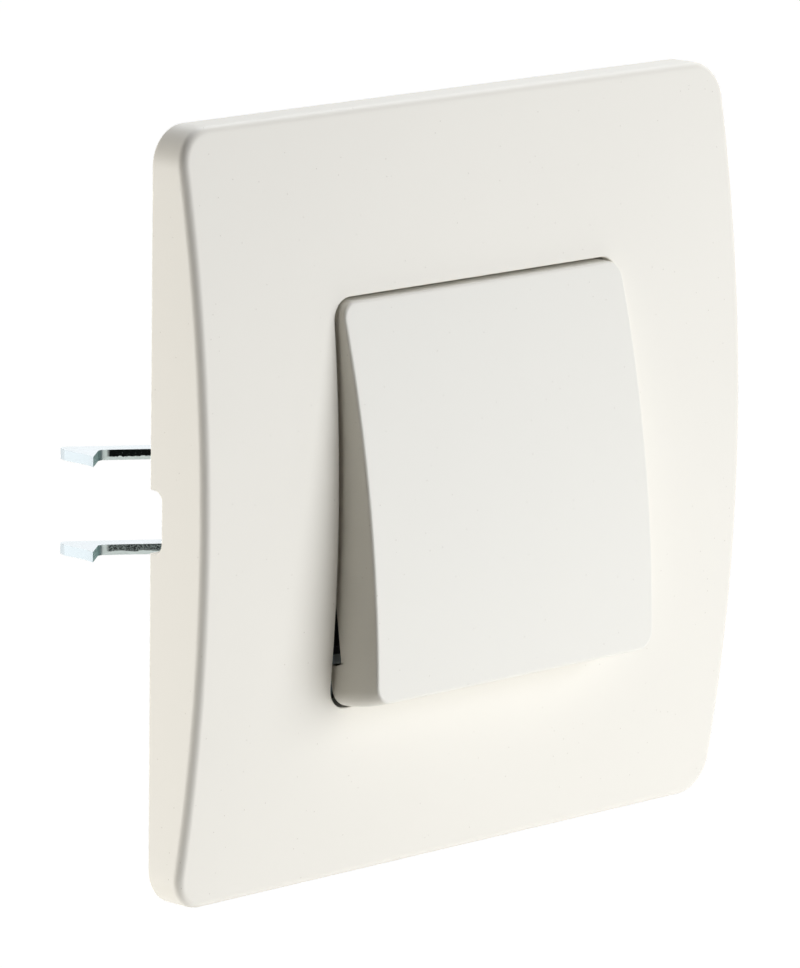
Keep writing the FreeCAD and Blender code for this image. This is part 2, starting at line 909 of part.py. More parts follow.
def make_axle():
    """Plain steel axle of the rocker."""
    body = new_body("rocker_axle")

    def rod(drawing):
        drawing.circle(as_size(0), as_size(0), size.axle_radius)

    extrude(body, "axle_rod", "YZ_Plane", -size.axle_length / 2, size.axle_length / 2, rod)
    tilt_to_rest(body)


def make_plunger():
    """Turned plunger: head in the guide, flange behind it and a stem for the bridge."""
    body = new_body("plunger")
    zero = as_size(0)
    flange_rear = size.flange_front + size.flange_thick
    corners = [
        (zero, size.plunger_front),
        (size.plunger_radius, size.plunger_front),
        (size.plunger_radius, size.flange_front),
        (size.flange_radius, size.flange_front),
        (size.flange_radius, flange_rear),
        (size.stem_radius, flange_rear),
        (size.stem_radius, size.stem_rear),
        (zero, size.stem_rear),
    ]
    revolve(body, "plunger_turning", corners)
    place(body, z=size.plunger_z)


def make_bridge():
    """Brass strip on the stem that joins the two fixed contacts."""
    body = new_body("contact_bridge")

    def strip(drawing):
        wide, high = size.bridge_length / 2, size.bridge_width / 2
        drawing.rectangle(-wide, -high, wide, high)

    extrude(body, "bridge_strip", "XZ_Plane", size.bridge_front, bridge_rear, strip)

    def hole(drawing):
        drawing.circle(as_size(0), as_size(0), size.stem_radius + size.axle_play)

    start, end = size.bridge_front - OVERRUN, bridge_rear + OVERRUN
    extrude(body, "stem_hole", "XZ_Plane", start, end, hole, cut=True)
    place(body, z=size.plunger_z)


def make_contact(label, side, front, rear):
    """Square contact tip welded to its strip."""
    body = new_body(label)

    def tip(drawing):
        reach = size.contact_side / 2
        drawing.rectangle(-reach, -reach, reach, reach)

    extrude(body, f"{label}_tip", "XZ_Plane", front, rear, tip)
    place(body, x=size.contact_x * side, z=size.plunger_z)


def make_retainer():
    """Ring that holds the bridge on the stem."""
    body = new_body("bridge_retainer")
    corners = [
        (size.stem_radius, retainer_front),
        (size.retainer_radius, retainer_front),
        (size.retainer_radius, retainer_rear),
        (size.stem_radius, retainer_rear),
    ]
    revolve(body, "retainer_turning", corners)
    place(body, z=size.plunger_z)


def make_coil(label, front, rear, coil, turns):
    """Coil spring between two seats on the plunger's axis, of six-sided wire bent in short steps."""
    wire = size.coil_wire
    flat = wire * math.cos(math.pi / HEXAGON)
    rise = (rear - front - flat - wire).value
    steps = round((turns * size.coil_steps).value)
    turn = 2 * math.pi / size.coil_steps.value
    radius = coil.value
    path = doc.addObject("Part::Polygon", f"{label}_path")
    path.Nodes = [
        Vector(radius * math.cos(turn * step), radius * math.sin(turn * step), rise * step / steps)
        for step in range(steps + 1)
    ]
    section = doc.addObject("Part::RegularPolygon", f"{label}_wire")
    section.Polygon = HEXAGON
    section.Placement = Placement(Vector(), Rotation(Vector(1, 0, 0), 90))
    bind(section, "Circumradius", wire)
    bind(section, "Placement.Base.x", coil)
    doc.recompute()
    spring = doc.addObject("Part::Sweep", label)
    spring.Sections = [section]
    spring.Spine = (path, [f"Edge{i}" for i in range(1, steps + 1)])
    spring.Solid = True
    spring.Transition = "Right corner"
    spring.Placement = Placement(Vector(), Rotation(Vector(-1, 0, 0), 90))
    place(spring, y=front + flat, z=size.plunger_z)
    doc.recompute()


def make_terminal(side):
    """Brass strip along the housing's wall, bent in to carry the fixed contact."""
    name = SIDE_NAMES[side]
    body = new_body(f"terminal_{name}")
    inside = cavity_half - size.strip_thick

    def leg(drawing):
        corners = [
            (size.housing_rear, size.terminal_low),
            (size.housing_rear, size.terminal_top),
            (size.terminal_front, size.terminal_top),
            (size.terminal_front, size.terminal_leg_low),
            (terminal_arm, size.terminal_leg_low),
            (terminal_arm, size.terminal_low),
        ]
        drawing.path(corners)

    extrude(body, f"leg_{name}", "YZ_Plane", *side_pair(side, inside, cavity_half), leg)

    def arm(drawing):
        low, high = side_pair(side, size.terminal_inner, cavity_half)
        drawing.rectangle(low, size.terminal_low, high, size.terminal_arm_top)

    extrude(body, f"arm_{name}", "XZ_Plane", terminal_arm, terminal_arm + size.strip_thick, arm)


def make_clamp_spring(side):
    """Leaf spring that bends round at the rear and leans against the terminal's leg."""
    name = SIDE_NAMES[side]
    body = new_body(f"clamp_spring_{name}")
    thick, loop = size.leaf_thick, size.leaf_loop
    bend = size.leaf_loop_y
    middle = size.leaf_x + loop
    core = loop - thick

    def leaf(drawing):
        outline = [
            (size.leaf_x, size.leaf_front),
            (size.leaf_x, bend),
            (middle, bend + loop),
            (middle + loop, bend),
            (size.leaf_tip_x, size.leaf_tip_y),
            (size.leaf_tip_x - thick, size.leaf_tip_y),
            (middle + core, bend),
            (middle, bend + core),
            (size.leaf_x + thick, bend),
            (size.leaf_x + thick, size.leaf_front),
        ]
        outside, inside = -side, side
        arcs = {1: (loop, outside), 2: (loop, outside), 6: (core, inside), 7: (core, inside)}
        drawing.path([(x * side, y) for x, y in outline], arcs)

    extrude(body, f"leaf_{name}", "XY_Plane", size.leaf_low, size.leaf_high, leaf)


def make_claw(side):
    """Folded claw: a web with the screw's hole, and two arms that end in barbed tines."""
    name = SIDE_NAMES[side]
    body = new_body(f"claw_{name}")
    sheet = size.claw_sheet

    def arm(drawing):
        outline = [
            (size.web_outer, size.web_front),
            (size.web_inner, size.web_front),
            (size.claw_pin_x, size.claw_pin_y - size.claw_boss),
            (size.claw_pin_x - size.claw_boss, size.claw_pin_y),
            (size.claw_inner, size.heel_y),
            (size.tip_inner_x, size.tip_inner_y),
            (size.tip_x, size.tip_y),
            (size.bite_x, size.bite_rear),
            (size.bite_x, size.bite_front),
            (size.barb_x, size.barb_y),
            (size.neck_x, size.neck_y),
            (size.claw_outer, size.crotch_y),
            (size.claw_outer, size.gusset_end),
            (size.web_outer, size.gusset_rear),
        ]
        drawing.path([(x * side, y) for x, y in outline], {2: (size.claw_boss, -side)})

    extrude(body, f"lower_arm_{name}", "XY_Plane", claw_low, claw_low + sheet, arm)

    def web(drawing):
        low, high = side_pair(side, size.web_inner, size.web_outer)
        drawing.rectangle(low, claw_low, high, claw_high)

    extrude(body, f"web_{name}", "XZ_Plane", size.web_front, web_rear, web)
    extrude(body, f"upper_arm_{name}", "XY_Plane", claw_high - sheet, claw_high, arm)

    outside = [(size.web_front, claw_low), (size.web_front, claw_high)]
    round_edges(body, f"folds_outside_{name}", size.fold_outside, along(0, outside))
    inside = [(web_rear, claw_low + sheet), (web_rear, claw_high - sheet)]
    round_edges(body, f"folds_inside_{name}", size.fold_inside, along(0, inside))

    def turned(places):
        return along(2, [(x * side, y) for x, y in places])

    tips = [(size.tip_inner_x, size.tip_inner_y), (size.tip_x, size.tip_y), (size.bite_x, size.bite_rear)]
    round_edges(body, f"tips_{name}", size.tip_round, turned(tips))
    round_edges(body, f"necks_{name}", size.neck_round, turned([(size.neck_x, size.neck_y)]))
    bends = [(size.claw_outer, size.crotch_y), (size.claw_outer, size.gusset_end)]
    round_edges(body, f"bends_{name}", size.bend_round, turned(bends))
    round_edges(body, f"heels_{name}", size.heel_round, turned([(size.claw_inner, size.heel_y)]))

    def screw_hole(drawing):
        drawing.circle(size.screw_x * side, size.claw_z, size.web_hole)

    start, end = size.web_front - OVERRUN, web_rear + OVERRUN
    extrude(body, f"screw_hole_{name}", "XZ_Plane", start, end, screw_hole, cut=True)

    def pin_hole(drawing):
        drawing.circle(size.claw_pin_x * side, size.claw_pin_y, size.pin_radius + size.axle_play)

    start, end = claw_low - OVERRUN, claw_high + OVERRUN
    extrude(body, f"pin_hole_{name}", "XY_Plane", start, end, pin_hole, cut=True)


def make_claw_pin(side):
    """Pin through the lugs and the claw, riveted flush at both ends."""
    name = SIDE_NAMES[side]
    body = new_body(f"claw_pin_{name}")
    lower = claw_low - size.lug_gap - size.frame_thick
    upper = claw_high + size.lug_gap + size.frame_thick

    def rod(drawing):
        drawing.circle(as_size(0), as_size(0), size.pin_radius)

    extrude(body, f"pin_rod_{name}", "XY_Plane", lower, upper, rod)
    place(body, x=size.claw_pin_x * side, y=size.claw_pin_y)


def make_claw_screw(side):
    """Slotted screw with its head in front of the frame."""
    name = SIDE_NAMES[side]
    body = new_body(f"claw_screw_{name}")
    zero = as_size(0)
    seat = -size.frame_thick - size.head_seat
    top = seat - size.head_thick
    corners = [
        (zero, top),
        (size.head_radius, top),
        (size.head_radius, seat),
        (size.screw_radius, seat),
        (size.screw_radius, size.screw_end),
        (zero, size.screw_end),
    ]
    revolve(body, f"screw_turning_{name}", corners)

    def drive(drawing):
        reach = size.head_radius + OVERRUN
        drawing.rectangle(-reach, -size.drive_slot / 2, reach, size.drive_slot / 2)

    start, end = top - OVERRUN, top + size.drive_depth
    extrude(body, f"drive_slot_{name}", "XZ_Plane", start, end, drive, cut=True)
    place(body, x=size.screw_x * side, z=size.claw_z)


def make_claw_nut(side):
    """Nut plate behind the claw's web, kept from turning by the claw's arms."""
    name = SIDE_NAMES[side]
    body = new_body(f"claw_nut_{name}")
    front = web_rear + size.nut_gap
    rear = front + size.nut_thick

    def block(drawing):
        wide, high = size.nut_width / 2, size.nut_height / 2
        drawing.rectangle(-wide, -high, wide, high)

    extrude(body, f"nut_block_{name}", "XZ_Plane", front, rear, block)

    def hole(drawing):
        drawing.circle(as_size(0), as_size(0), size.screw_radius + size.nut_play)

    extrude(body, f"nut_hole_{name}", "XZ_Plane", front - OVERRUN, rear + OVERRUN, hole, cut=True)
    place(body, x=size.screw_x * side, z=size.claw_z)


def make_all():
    """Build every piece."""
    make_cover_plate()
    make_support_frame()
    make_housing()
    make_rear_cover()
    make_bearing_plate()
    make_button()
    make_yoke()
    make_axle()
    make_plunger()
    make_bridge()
    make_retainer()
    flange_rear = size.flange_front + size.flange_thick
    make_coil("contact_spring", flange_rear, size.bridge_front, size.contact_coil, size.contact_turns)
    make_coil("return_spring", retainer_rear, size.housing_rear, size.return_coil, size.return_turns)
    for side in (LEFT, RIGHT):
        name = SIDE_NAMES[side]
        make_contact(f"bridge_contact_{name}", side, bridge_rear, bridge_tip)
        make_contact(f"fixed_contact_{name}", side, fixed_tip, terminal_arm)
        make_terminal(side)
        make_clamp_spring(side)
        make_claw(side)
        make_claw_pin(side)
        make_claw_screw(side)
        make_claw_nut(side)
    doc.recompute()


def check_and_write():
    """Refuse any failed object or shape, then write one file for each piece."""
    failed = [thing.Label for thing in doc.Objects if {"Invalid", "Error"} & set(thing.State)]
    pieces = [thing for thing in doc.Objects if thing.TypeId in ("PartDesign::Body", "Part::Sweep")]
    failed += [piece.Label for piece in pieces if piece.Shape.isNull() or not piece.Shape.isValid()]
    if failed:
        raise RuntimeError(f"not built: {failed}")
    os.makedirs("parts", exist_ok=True)
    for piece in pieces:
        piece.Shape.exportStep(f"parts/{piece.Label}.step")
        box = piece.Shape.BoundBox
        print(
            f"{piece.Label}: {len(piece.Shape.Solids)} solid, {piece.Shape.Volume:.1f} mm3,"
            f" X {box.XMin:.2f} to {box.XMax:.2f}, Y {box.YMin:.2f} to {box.YMax:.2f},"
            f" Z {box.ZMin:.2f} to {box.ZMax:.2f}"
        )


make_all()
check_and_write()
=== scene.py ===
"""Dress, light and frame the push button switch.

Sizes are in millimetres and meshes in metres. X runs to the right, Z up and Y from the room into
the wall, as in the CAD frame, so a height above the wall plane is -Y.
"""

from __future__ import annotations

import logging
import math
from dataclasses import dataclass, field
from enum import Enum
from typing import Iterable, Sequence

import bmesh
import bpy
import numpy as np
from mathutils import Matrix, Vector

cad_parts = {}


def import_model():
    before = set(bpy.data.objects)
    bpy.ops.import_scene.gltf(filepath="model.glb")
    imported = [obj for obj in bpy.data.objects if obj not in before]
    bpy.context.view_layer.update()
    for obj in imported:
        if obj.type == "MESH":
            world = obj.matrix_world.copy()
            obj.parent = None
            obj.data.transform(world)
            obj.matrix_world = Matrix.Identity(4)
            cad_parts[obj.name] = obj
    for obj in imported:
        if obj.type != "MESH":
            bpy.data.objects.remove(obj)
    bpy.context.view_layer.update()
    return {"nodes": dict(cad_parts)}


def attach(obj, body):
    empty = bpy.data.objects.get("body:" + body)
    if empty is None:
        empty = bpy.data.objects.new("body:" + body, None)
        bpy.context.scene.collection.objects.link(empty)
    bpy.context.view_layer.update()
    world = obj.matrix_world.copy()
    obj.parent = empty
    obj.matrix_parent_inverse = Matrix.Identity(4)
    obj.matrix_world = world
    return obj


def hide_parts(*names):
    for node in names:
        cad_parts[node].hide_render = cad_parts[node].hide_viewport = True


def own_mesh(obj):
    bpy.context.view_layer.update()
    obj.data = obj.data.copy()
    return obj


MM = 0.001
# A row this far from a rounded edge keeps the wall beside it flat, in millimetres
HOLD = 0.04
# Faces that meet at a larger angle than these keep a sharp edge, and may get a broken one
SHARP_DEG = 32.0
BREAK_DEG = 35.0
# In a copied CAD mesh, points this close are one and faces this level are joined
JOIN_MM = 0.0005
FLAT_DEG = 0.8
# Sockets of a colour mix, whose names it shares with sockets for other data
SHARE, UNDER, OVER, MIXED = 0, 6, 7, 2
LOG = logging.getLogger("switch")
Tree = bpy.types.NodeTree
Socket = bpy.types.NodeSocket


class Side(Enum):
    """The two mirrored sides of the switch, with the sign of X on each."""

    LEFT = -1
    RIGHT = 1

    @property
    def label(self) -> str:
        """Returns: The side's name as the nodes spell it."""
        return self.name.lower()


class Axis(Enum):
    """An axis of the frame, by its number."""

    X = 0
    Y = 1
    Z = 2


def linear(colour: str) -> tuple[float, float, float, float]:
    """Turn an sRGB hex colour into linear light.

    Args:
        colour: Six hex digits with a leading hash sign.

    Returns:
        Red, green, blue and an alpha of 1.
    """
    coded = np.array([int(colour[place : place + 2], 16) for place in (1, 3, 5)]) / 255.0
    light = np.where(coded <= 0.04045, coded / 12.92, ((coded + 0.055) / 1.055) ** 2.4)
    return (float(light[0]), float(light[1]), float(light[2]), 1.0)


def per_metre(size_mm: float) -> float:
    """The texture scale that makes a pattern's cells this large.

    Args:
        size_mm: Size of one cell in millimetres.

    Returns:
        Cells in one metre.
    """
    return 1.0 / (size_mm * MM)


def add_node(
    tree: Tree, kind: str, inputs: dict | None = None, **settings: object
) -> bpy.types.Node:
    """Add a node to a tree.

    Args:
        tree: The tree that gets the node.
        kind: The node's type name.
        inputs: Values or sockets for its inputs, by name or number.
        settings: Properties of the node.

    Returns:
        The new node.
    """
    node = tree.nodes.new(kind)
    for name, value in settings.items():
        setattr(node, name, value)
    for socket, value in (inputs or {}).items():
        if isinstance(value, Socket):
            tree.links.new(value, node.inputs[socket])
        else:
            node.inputs[socket].default_value = value
    return node


@dataclass(frozen=True)
class Finish:
    """A material, built once and shared by every piece that has it."""

    name: str

    def material(self) -> bpy.types.Material:
        """Returns: The finish's material, made on first use."""
        found = bpy.data.materials.get(self.name)
        if found:
            return found
        material = bpy.data.materials.new(self.name)
        material.use_nodes = True
        tree = material.node_tree
        tree.nodes.clear()
        surface = add_node(tree, "ShaderNodeBsdfPrincipled", self.surface(tree))
        add_node(tree, "ShaderNodeOutputMaterial", {"Surface": surface.outputs["BSDF"]})
        return material

    def surface(self, tree: Tree) -> dict:
        """Work out what the shader gets.

        Args:
            tree: The material's node tree.

        Returns:
            Values or sockets for the shader's inputs, by name.
        """
        raise NotImplementedError

    def dress(self, piece: bpy.types.Object) -> None:
        """Give a piece this finish alone.

        Args:
            piece: A mesh object.
        """
        piece.data.materials.clear()
        piece.data.materials.append(self.material())


@dataclass(frozen=True)
class MouldedPlastic(Finish):
    """Satin moulded plastic with a fine spark-eroded grain, a faint cloudiness and rare specks."""

    colour: str
    cloud_colour: str
    speck_colour: str = "#a89d8a"
    roughness: float = 0.48
    cloud_mm: float = 26.0
    # The real grain is a few hundredths wide, and is drawn as coarse as it needs to show
    grain_mm: float = 0.16
    grain_depth_mm: float = 0.0025
    speck_mm: float = 1.3
    speck_share: float = 0.035
    speck_blur: float = 1.6
    speck_strength: float = 0.45
    shine: float = 0.25

    def surface(self, tree: Tree) -> dict:
        """Cloud the colour, drop specks on it and grain the surface.

        Args:
            tree: The material's node tree.

        Returns:
            Inputs of the shader.
        """
        place = add_node(tree, "ShaderNodeTexCoord").outputs["Object"]
        cloud = add_node(
            tree,
            "ShaderNodeTexNoise",
            {"Vector": place, "Scale": per_metre(self.cloud_mm), "Detail": 3.0},
        )
        cells = add_node(
            tree,
            "ShaderNodeTexVoronoi",
            {"Vector": place, "Scale": per_metre(self.speck_mm)},
            feature="F1",
        )
        speck = add_node(
            tree,
            "ShaderNodeMapRange",
            {
                "Value": cells.outputs["Distance"],
                "From Min": self.speck_share,
                "From Max": self.speck_share * self.speck_blur,
                "To Min": self.speck_strength,
                "To Max": 0.0,
            },
        )
        colour = linear(self.colour)
        for mask, over in (
            (cloud.outputs["Fac"], self.cloud_colour),
            (speck.outputs["Result"], self.speck_colour),
        ):
            layers = {SHARE: mask, UNDER: colour, OVER: linear(over)}
            colour = add_node(tree, "ShaderNodeMix", layers, data_type="RGBA").outputs[MIXED]
        grain = add_node(
            tree,
            "ShaderNodeTexNoise",
            {"Vector": place, "Scale": per_metre(self.grain_mm), "Detail": 2.0},
        )
        bump = add_node(
            tree,
            "ShaderNodeBump",
            {
                "Height": grain.outputs["Fac"],
                "Distance": self.grain_depth_mm * MM,
                "Strength": 1.0,
            },
        )
        return {
            "Base Color": colour,
            "Roughness": self.roughness,
            "Specular IOR Level": self.shine,
            "Normal": bump.outputs["Normal"],
        }


@dataclass(frozen=True)
class DrawnMetal(Finish):
    """Rolled, drawn or burnished metal with fine streaks along one axis."""

    colour: str
    streak_colour: str
    roughness: float
    along: Axis = Axis.X
    # Real streaks are finer, and are drawn as coarse as they need to show
    streak_mm: float = 0.12
    streak_stretch: float = 22.0
    smoothest: float = 0.8
    roughest: float = 1.25

    def surface(self, tree: Tree) -> dict:
        """Streak the colour and the roughness.

        Args:
            tree: The material's node tree.

        Returns:
            Inputs of the shader.
        """
        place = add_node(tree, "ShaderNodeTexCoord").outputs["Object"]
        squeeze = [1.0, 1.0, 1.0]
        squeeze[self.along.value] = 1.0 / self.streak_stretch
        mapped = add_node(tree, "ShaderNodeMapping", {"Vector": place, "Scale": squeeze})
        streak = add_node(
            tree,
            "ShaderNodeTexNoise",
            {
                "Vector": mapped.outputs["Vector"],
                "Scale": per_metre(self.streak_mm),
                "Detail": 3.0,
            },
        ).outputs["Fac"]
        layers = {SHARE: streak, UNDER: linear(self.colour), OVER: linear(self.streak_colour)}
        colour = add_node(tree, "ShaderNodeMix", layers, data_type="RGBA")
        rough = add_node(
            tree,
            "ShaderNodeMapRange",
            {
                "Value": streak,
                "To Min": self.roughness * self.smoothest,
                "To Max": self.roughness * self.roughest,
            },
        )
        return {
            "Base Color": colour.outputs[MIXED],
            "Metallic": 1.0,
            "Roughness": rough.outputs["Result"],
        }


@dataclass(frozen=True)
class PlatedSteel(Finish):
    """Bright zinc plating with a patchy tint and fine scratches."""

    colour: str
    tint_colour: str
    roughness: float = 0.26
    cloud_mm: float = 3.2
    # Real scratches are finer, and are drawn as coarse as they need to show
    scratch_mm: float = 0.22
    scratch_depth_mm: float = 0.004
    smoothest: float = 0.8
    roughest: float = 1.3

    def plating(self, tree: Tree) -> tuple[dict, Socket]:
        """Tint the plating in patches and scratch it.

        Args:
            tree: The material's node tree.

        Returns:
            Inputs of the shader without the roughness, and how scratched a place is.
        """
        place = add_node(tree, "ShaderNodeTexCoord").outputs["Object"]
        cloud = add_node(
            tree,
            "ShaderNodeTexNoise",
            {"Vector": place, "Scale": per_metre(self.cloud_mm), "Detail": 4.0},
        )
        layers = {
            SHARE: cloud.outputs["Fac"],
            UNDER: linear(self.colour),
            OVER: linear(self.tint_colour),
        }
        tinted = add_node(tree, "ShaderNodeMix", layers, data_type="RGBA")
        scratch = add_node(
            tree,
            "ShaderNodeTexNoise",
            {"Vector": place, "Scale": per_metre(self.scratch_mm), "Detail": 4.0},
        ).outputs["Fac"]
        bump = add_node(
            tree,
            "ShaderNodeBump",
            {"Height": scratch, "Distance": self.scratch_depth_mm * MM, "Strength": 1.0},
        )
        inputs = {
            "Base Color": tinted.outputs[MIXED],
            "Metallic": 1.0,
            "Normal": bump.outputs["Normal"],
        }
        return inputs, scratch

    def surface(self, tree: Tree) -> dict:
        """Roughen the plating where it is scratched.

        Args:
            tree: The material's node tree.

        Returns:
            Inputs of the shader.
        """
        inputs, scratch = self.plating(tree)
        rough = add_node(
            tree,
            "ShaderNodeMapRange",
            {
                "Value": scratch,
                "To Min": self.roughness * self.smoothest,
                "To Max": self.roughness * self.roughest,
            },
        )
        return inputs | {"Roughness": rough.outputs["Result"]}


@dataclass(frozen=True)
class ShearedSheet(PlatedSteel):
    """Plated sheet that was sheared to its outline, lying level in two layers.

    The sheet's edges get a painted shade, and the tines' sheared edges a painted highlight. Over
    that, the torn upper part of each tine's edge is painted near black with grey speckle as painted
    shade, above a ragged border that leaves a bright band below it. The hooks' inner edges are
    greenish, and every corner of the sheet gets a thin dark line of painted shade. Each pair of
    turns says how far a face has to look one way for a look to begin and to be full.
    """

    # Near black with grey speckle: painted shade on the torn upper part of the tines' edges
    torn_shade_colour: str = "#171b1a"
    grey_colour: str = "#9aa5a2"
    hook_colour: str = "#a9c6c1"
    # Painted shade on the sheet's edges, which look sideways
    shaded_edge_colour: str = "#a8afb2"
    # Painted highlight on the tines' sheared edges
    painted_highlight_colour: str = "#eef5f2"
    # Painted shade: a thin dark line on the sheet's rounded corners
    shade_line_colour: str = "#5d7376"
    sheet_low_mm: float = -8.05
    sheet_mm: float = 1.1
    layer_mm: float = 10.0
    tine_facing: tuple[float, float] = (0.59, -0.81)
    tine_turns: tuple[float, float] = (0.9, 0.975)
    inward_turns: tuple[float, float] = (0.3, -0.3)
    front_turns: tuple[float, float] = (-0.3, -0.6)
    flat_turns: tuple[float, float] = (0.3, 0.8)
    # How upright a face is, give or take the spread, to get the thin line of painted shade
    shade_line_turn: float = 0.55
    shade_line_spread: float = 0.36
    bright_share: float = 0.34
    ragged_share: float = 0.3
    tooth_mm: float = 0.5
    border_blur: float = 0.07
    # The torn band's painted shade reaches this far from the middle
    shade_start_mm: float = 27.9
    start_blur: float = 0.005
    # Real speckle is finer, and is drawn as coarse as it needs to show
    speckle_mm: float = 0.13
    lower_dust: float = 0.24
    dust_levels: tuple[float, float] = (0.62, 0.82)
    torn_roughness: float = 0.7

    def surface(self, tree: Tree) -> dict:
        """Lay painted shade and highlights on the sheared edges over the plating, told apart by
        which way they face.

        Args:
            tree: The material's node tree.

        Returns:
            Inputs of the shader.
        """
        inputs, _ = self.plating(tree)
        coordinates = add_node(tree, "ShaderNodeTexCoord")
        spot = add_node(tree, "ShaderNodeSeparateXYZ", {0: coordinates.outputs["Object"]}).outputs
        facing = add_node(tree, "ShaderNodeSeparateXYZ", {0: coordinates.outputs["Normal"]}).outputs
        side = add_node(tree, "ShaderNodeMath", {0: spot["X"]}, operation="SIGN").outputs[0]
        outward = add_node(
            tree, "ShaderNodeMath", {0: facing["X"], 1: side}, operation="MULTIPLY"
        ).outputs[0]
        upright = add_node(
            tree, "ShaderNodeMath", {0: facing["Z"]}, operation="ABSOLUTE"
        ).outputs[0]
        tine = self.tine(tree, outward, facing["Y"])
        edge_turn, flat_turn = self.flat_turns
        edge, torn = (
            add_node(
                tree,
                "ShaderNodeMapRange",
                {
                    "Value": upright,
                    "From Min": edge_turn,
                    "From Max": flat_turn,
                    "To Min": on_edge,
                    "To Max": on_flat,
                },
            ).outputs["Result"]
            for on_edge, on_flat in ((1.0, 0.0), (self.torn_roughness, self.roughness))
        )
        # Painted shade on the rounded corners, found by how upright a face is
        corner = add_node(
            tree,
            "ShaderNodeMath",
            {0: upright, 1: self.shade_line_turn, 2: self.shade_line_spread},
            operation="COMPARE",
        )
        colour = inputs["Base Color"]
        # Painted shade on edges, painted highlight on tines, green hooks, painted shade on corners
        # and torn band
        for mask, over in (
            (edge, linear(self.shaded_edge_colour)),
            (tine, linear(self.painted_highlight_colour)),
            (self.hook(tree, outward, facing["Y"]), linear(self.hook_colour)),
            (corner.outputs[0], linear(self.shade_line_colour)),
            self.burnish(tree, coordinates.outputs["Object"], side, tine),
        ):
            layers = {SHARE: mask, UNDER: colour, OVER: over}
            colour = add_node(tree, "ShaderNodeMix", layers, data_type="RGBA").outputs[MIXED]
        return inputs | {"Base Color": colour, "Roughness": torn}

    def tine(self, tree: Tree, outward: Socket, rearward: Socket) -> Socket:
        """Find the tines' sheared edges: the cosine between a face and the way they look.

        Args:
            tree: The material's node tree.
            outward: How far a face looks away from the middle.
            rearward: How far it looks into the wall.

        Returns:
            A mask that is 1 on those edges.
        """
        (across, ahead), (begun, full) = self.tine_facing, self.tine_turns
        forward = add_node(tree, "ShaderNodeMath", {0: rearward, 1: ahead}, operation="MULTIPLY")
        toward = add_node(
            tree,
            "ShaderNodeMath",
            {0: outward, 1: across, 2: forward.outputs[0]},
            operation="MULTIPLY_ADD",
        )
        inputs = {"Value": toward.outputs[0], "From Min": begun, "From Max": full}
        return add_node(tree, "ShaderNodeMapRange", inputs).outputs["Result"]

    def hook(self, tree: Tree, outward: Socket, rearward: Socket) -> Socket:
        """Find the hooks' inner edges: those that look both to the front and to the middle.

        Args:
            tree: The material's node tree.
            outward: How far a face looks away from the middle.
            rearward: How far it looks into the wall.

        Returns:
            A mask that is 1 on those edges.
        """
        inward, front = (
            add_node(
                tree, "ShaderNodeMapRange", {"Value": value, "From Min": begun, "From Max": full}
            ).outputs["Result"]
            for value, (begun, full) in (
                (outward, self.inward_turns),
                (rearward, self.front_turns),
            )
        )
        both = add_node(tree, "ShaderNodeMath", {0: inward, 1: front}, operation="MULTIPLY")
        return both.outputs[0]

    def burnish(
        self, tree: Tree, place: Socket, side: Socket, tine: Socket
    ) -> tuple[Socket, Socket]:
        """Paint shade on the torn upper part of the tines' edges, above a ragged border, out to
        where the punch let go.

        Args:
            tree: The material's node tree.
            place: Where on the piece.
            side: Sign of X.
            tine: Mask of the tines' edges.

        Returns:
            The painted shade's mask and its speckled colour.
        """
        spot = add_node(tree, "ShaderNodeSeparateXYZ", {"Vector": place}).outputs
        sheet, layer = self.sheet_mm * MM, self.layer_mm * MM
        raised = add_node(
            tree, "ShaderNodeMath", {0: spot["Z"], 1: self.sheet_low_mm * MM}, operation="SUBTRACT"
        ).outputs[0]
        level = add_node(tree, "ShaderNodeMath", {0: raised, 1: layer}, operation="MODULO")
        teeth, speckle = (
            add_node(
                tree,
                "ShaderNodeTexNoise",
                {"Vector": place, "Scale": per_metre(size_mm), "Detail": detail},
            ).outputs["Fac"]
            for size_mm, detail in ((self.tooth_mm, 1.0), (self.speckle_mm, 3.0))
        )
        ragged = add_node(
            tree,
            "ShaderNodeMath",
            {0: teeth, 1: sheet * self.ragged_share, 2: level.outputs[0]},
            operation="MULTIPLY_ADD",
        )
        reach = add_node(tree, "ShaderNodeMath", {0: spot["X"], 1: side}, operation="MULTIPLY")
        border = sheet * (self.bright_share + self.ragged_share / 2.0)
        start = self.shade_start_mm * MM
        dark = tine
        for value, limit, blur in (
            (ragged.outputs[0], border, self.border_blur),
            (reach.outputs[0], start, -self.start_blur),
        ):
            low, high = limit * (1.0 - blur), limit * (1.0 + blur)
            mask = add_node(
                tree, "ShaderNodeMapRange", {"Value": value, "From Min": low, "From Max": high}
            )
            both = {0: dark, 1: mask.outputs["Result"]}
            dark = add_node(tree, "ShaderNodeMath", both, operation="MULTIPLY").outputs[0]
        lower = add_node(
            tree,
            "ShaderNodeMapRange",
            {"Value": raised, "From Max": layer, "To Min": self.lower_dust, "To Max": 0.0},
        ).outputs["Result"]
        dust = add_node(tree, "ShaderNodeMath", {0: speckle, 1: lower}, operation="ADD")
        bare, dusty = self.dust_levels
        grey = add_node(
            tree,
            "ShaderNodeMapRange",
            {"Value": dust.outputs[0], "From Min": bare, "From Max": dusty},
        ).outputs["Result"]
        layers = {SHARE: grey, UNDER: linear(self.torn_shade_colour), OVER: linear(self.grey_colour)}
        return dark, add_node(tree, "ShaderNodeMix", layers, data_type="RGBA").outputs[MIXED]


# Moulded plastic with a satin skin: an even ivory with soft highlights and hardly a mark
IVORY_PLATE = MouldedPlastic("Ivory plastic, plate", "#f0ece1", "#ede9de")
# The same from a smoother mould, so that highlights are a little tighter than the plate's
IVORY_BUTTON = MouldedPlastic("Ivory plastic, button", "#efece2", "#edeae0", roughness=0.44)
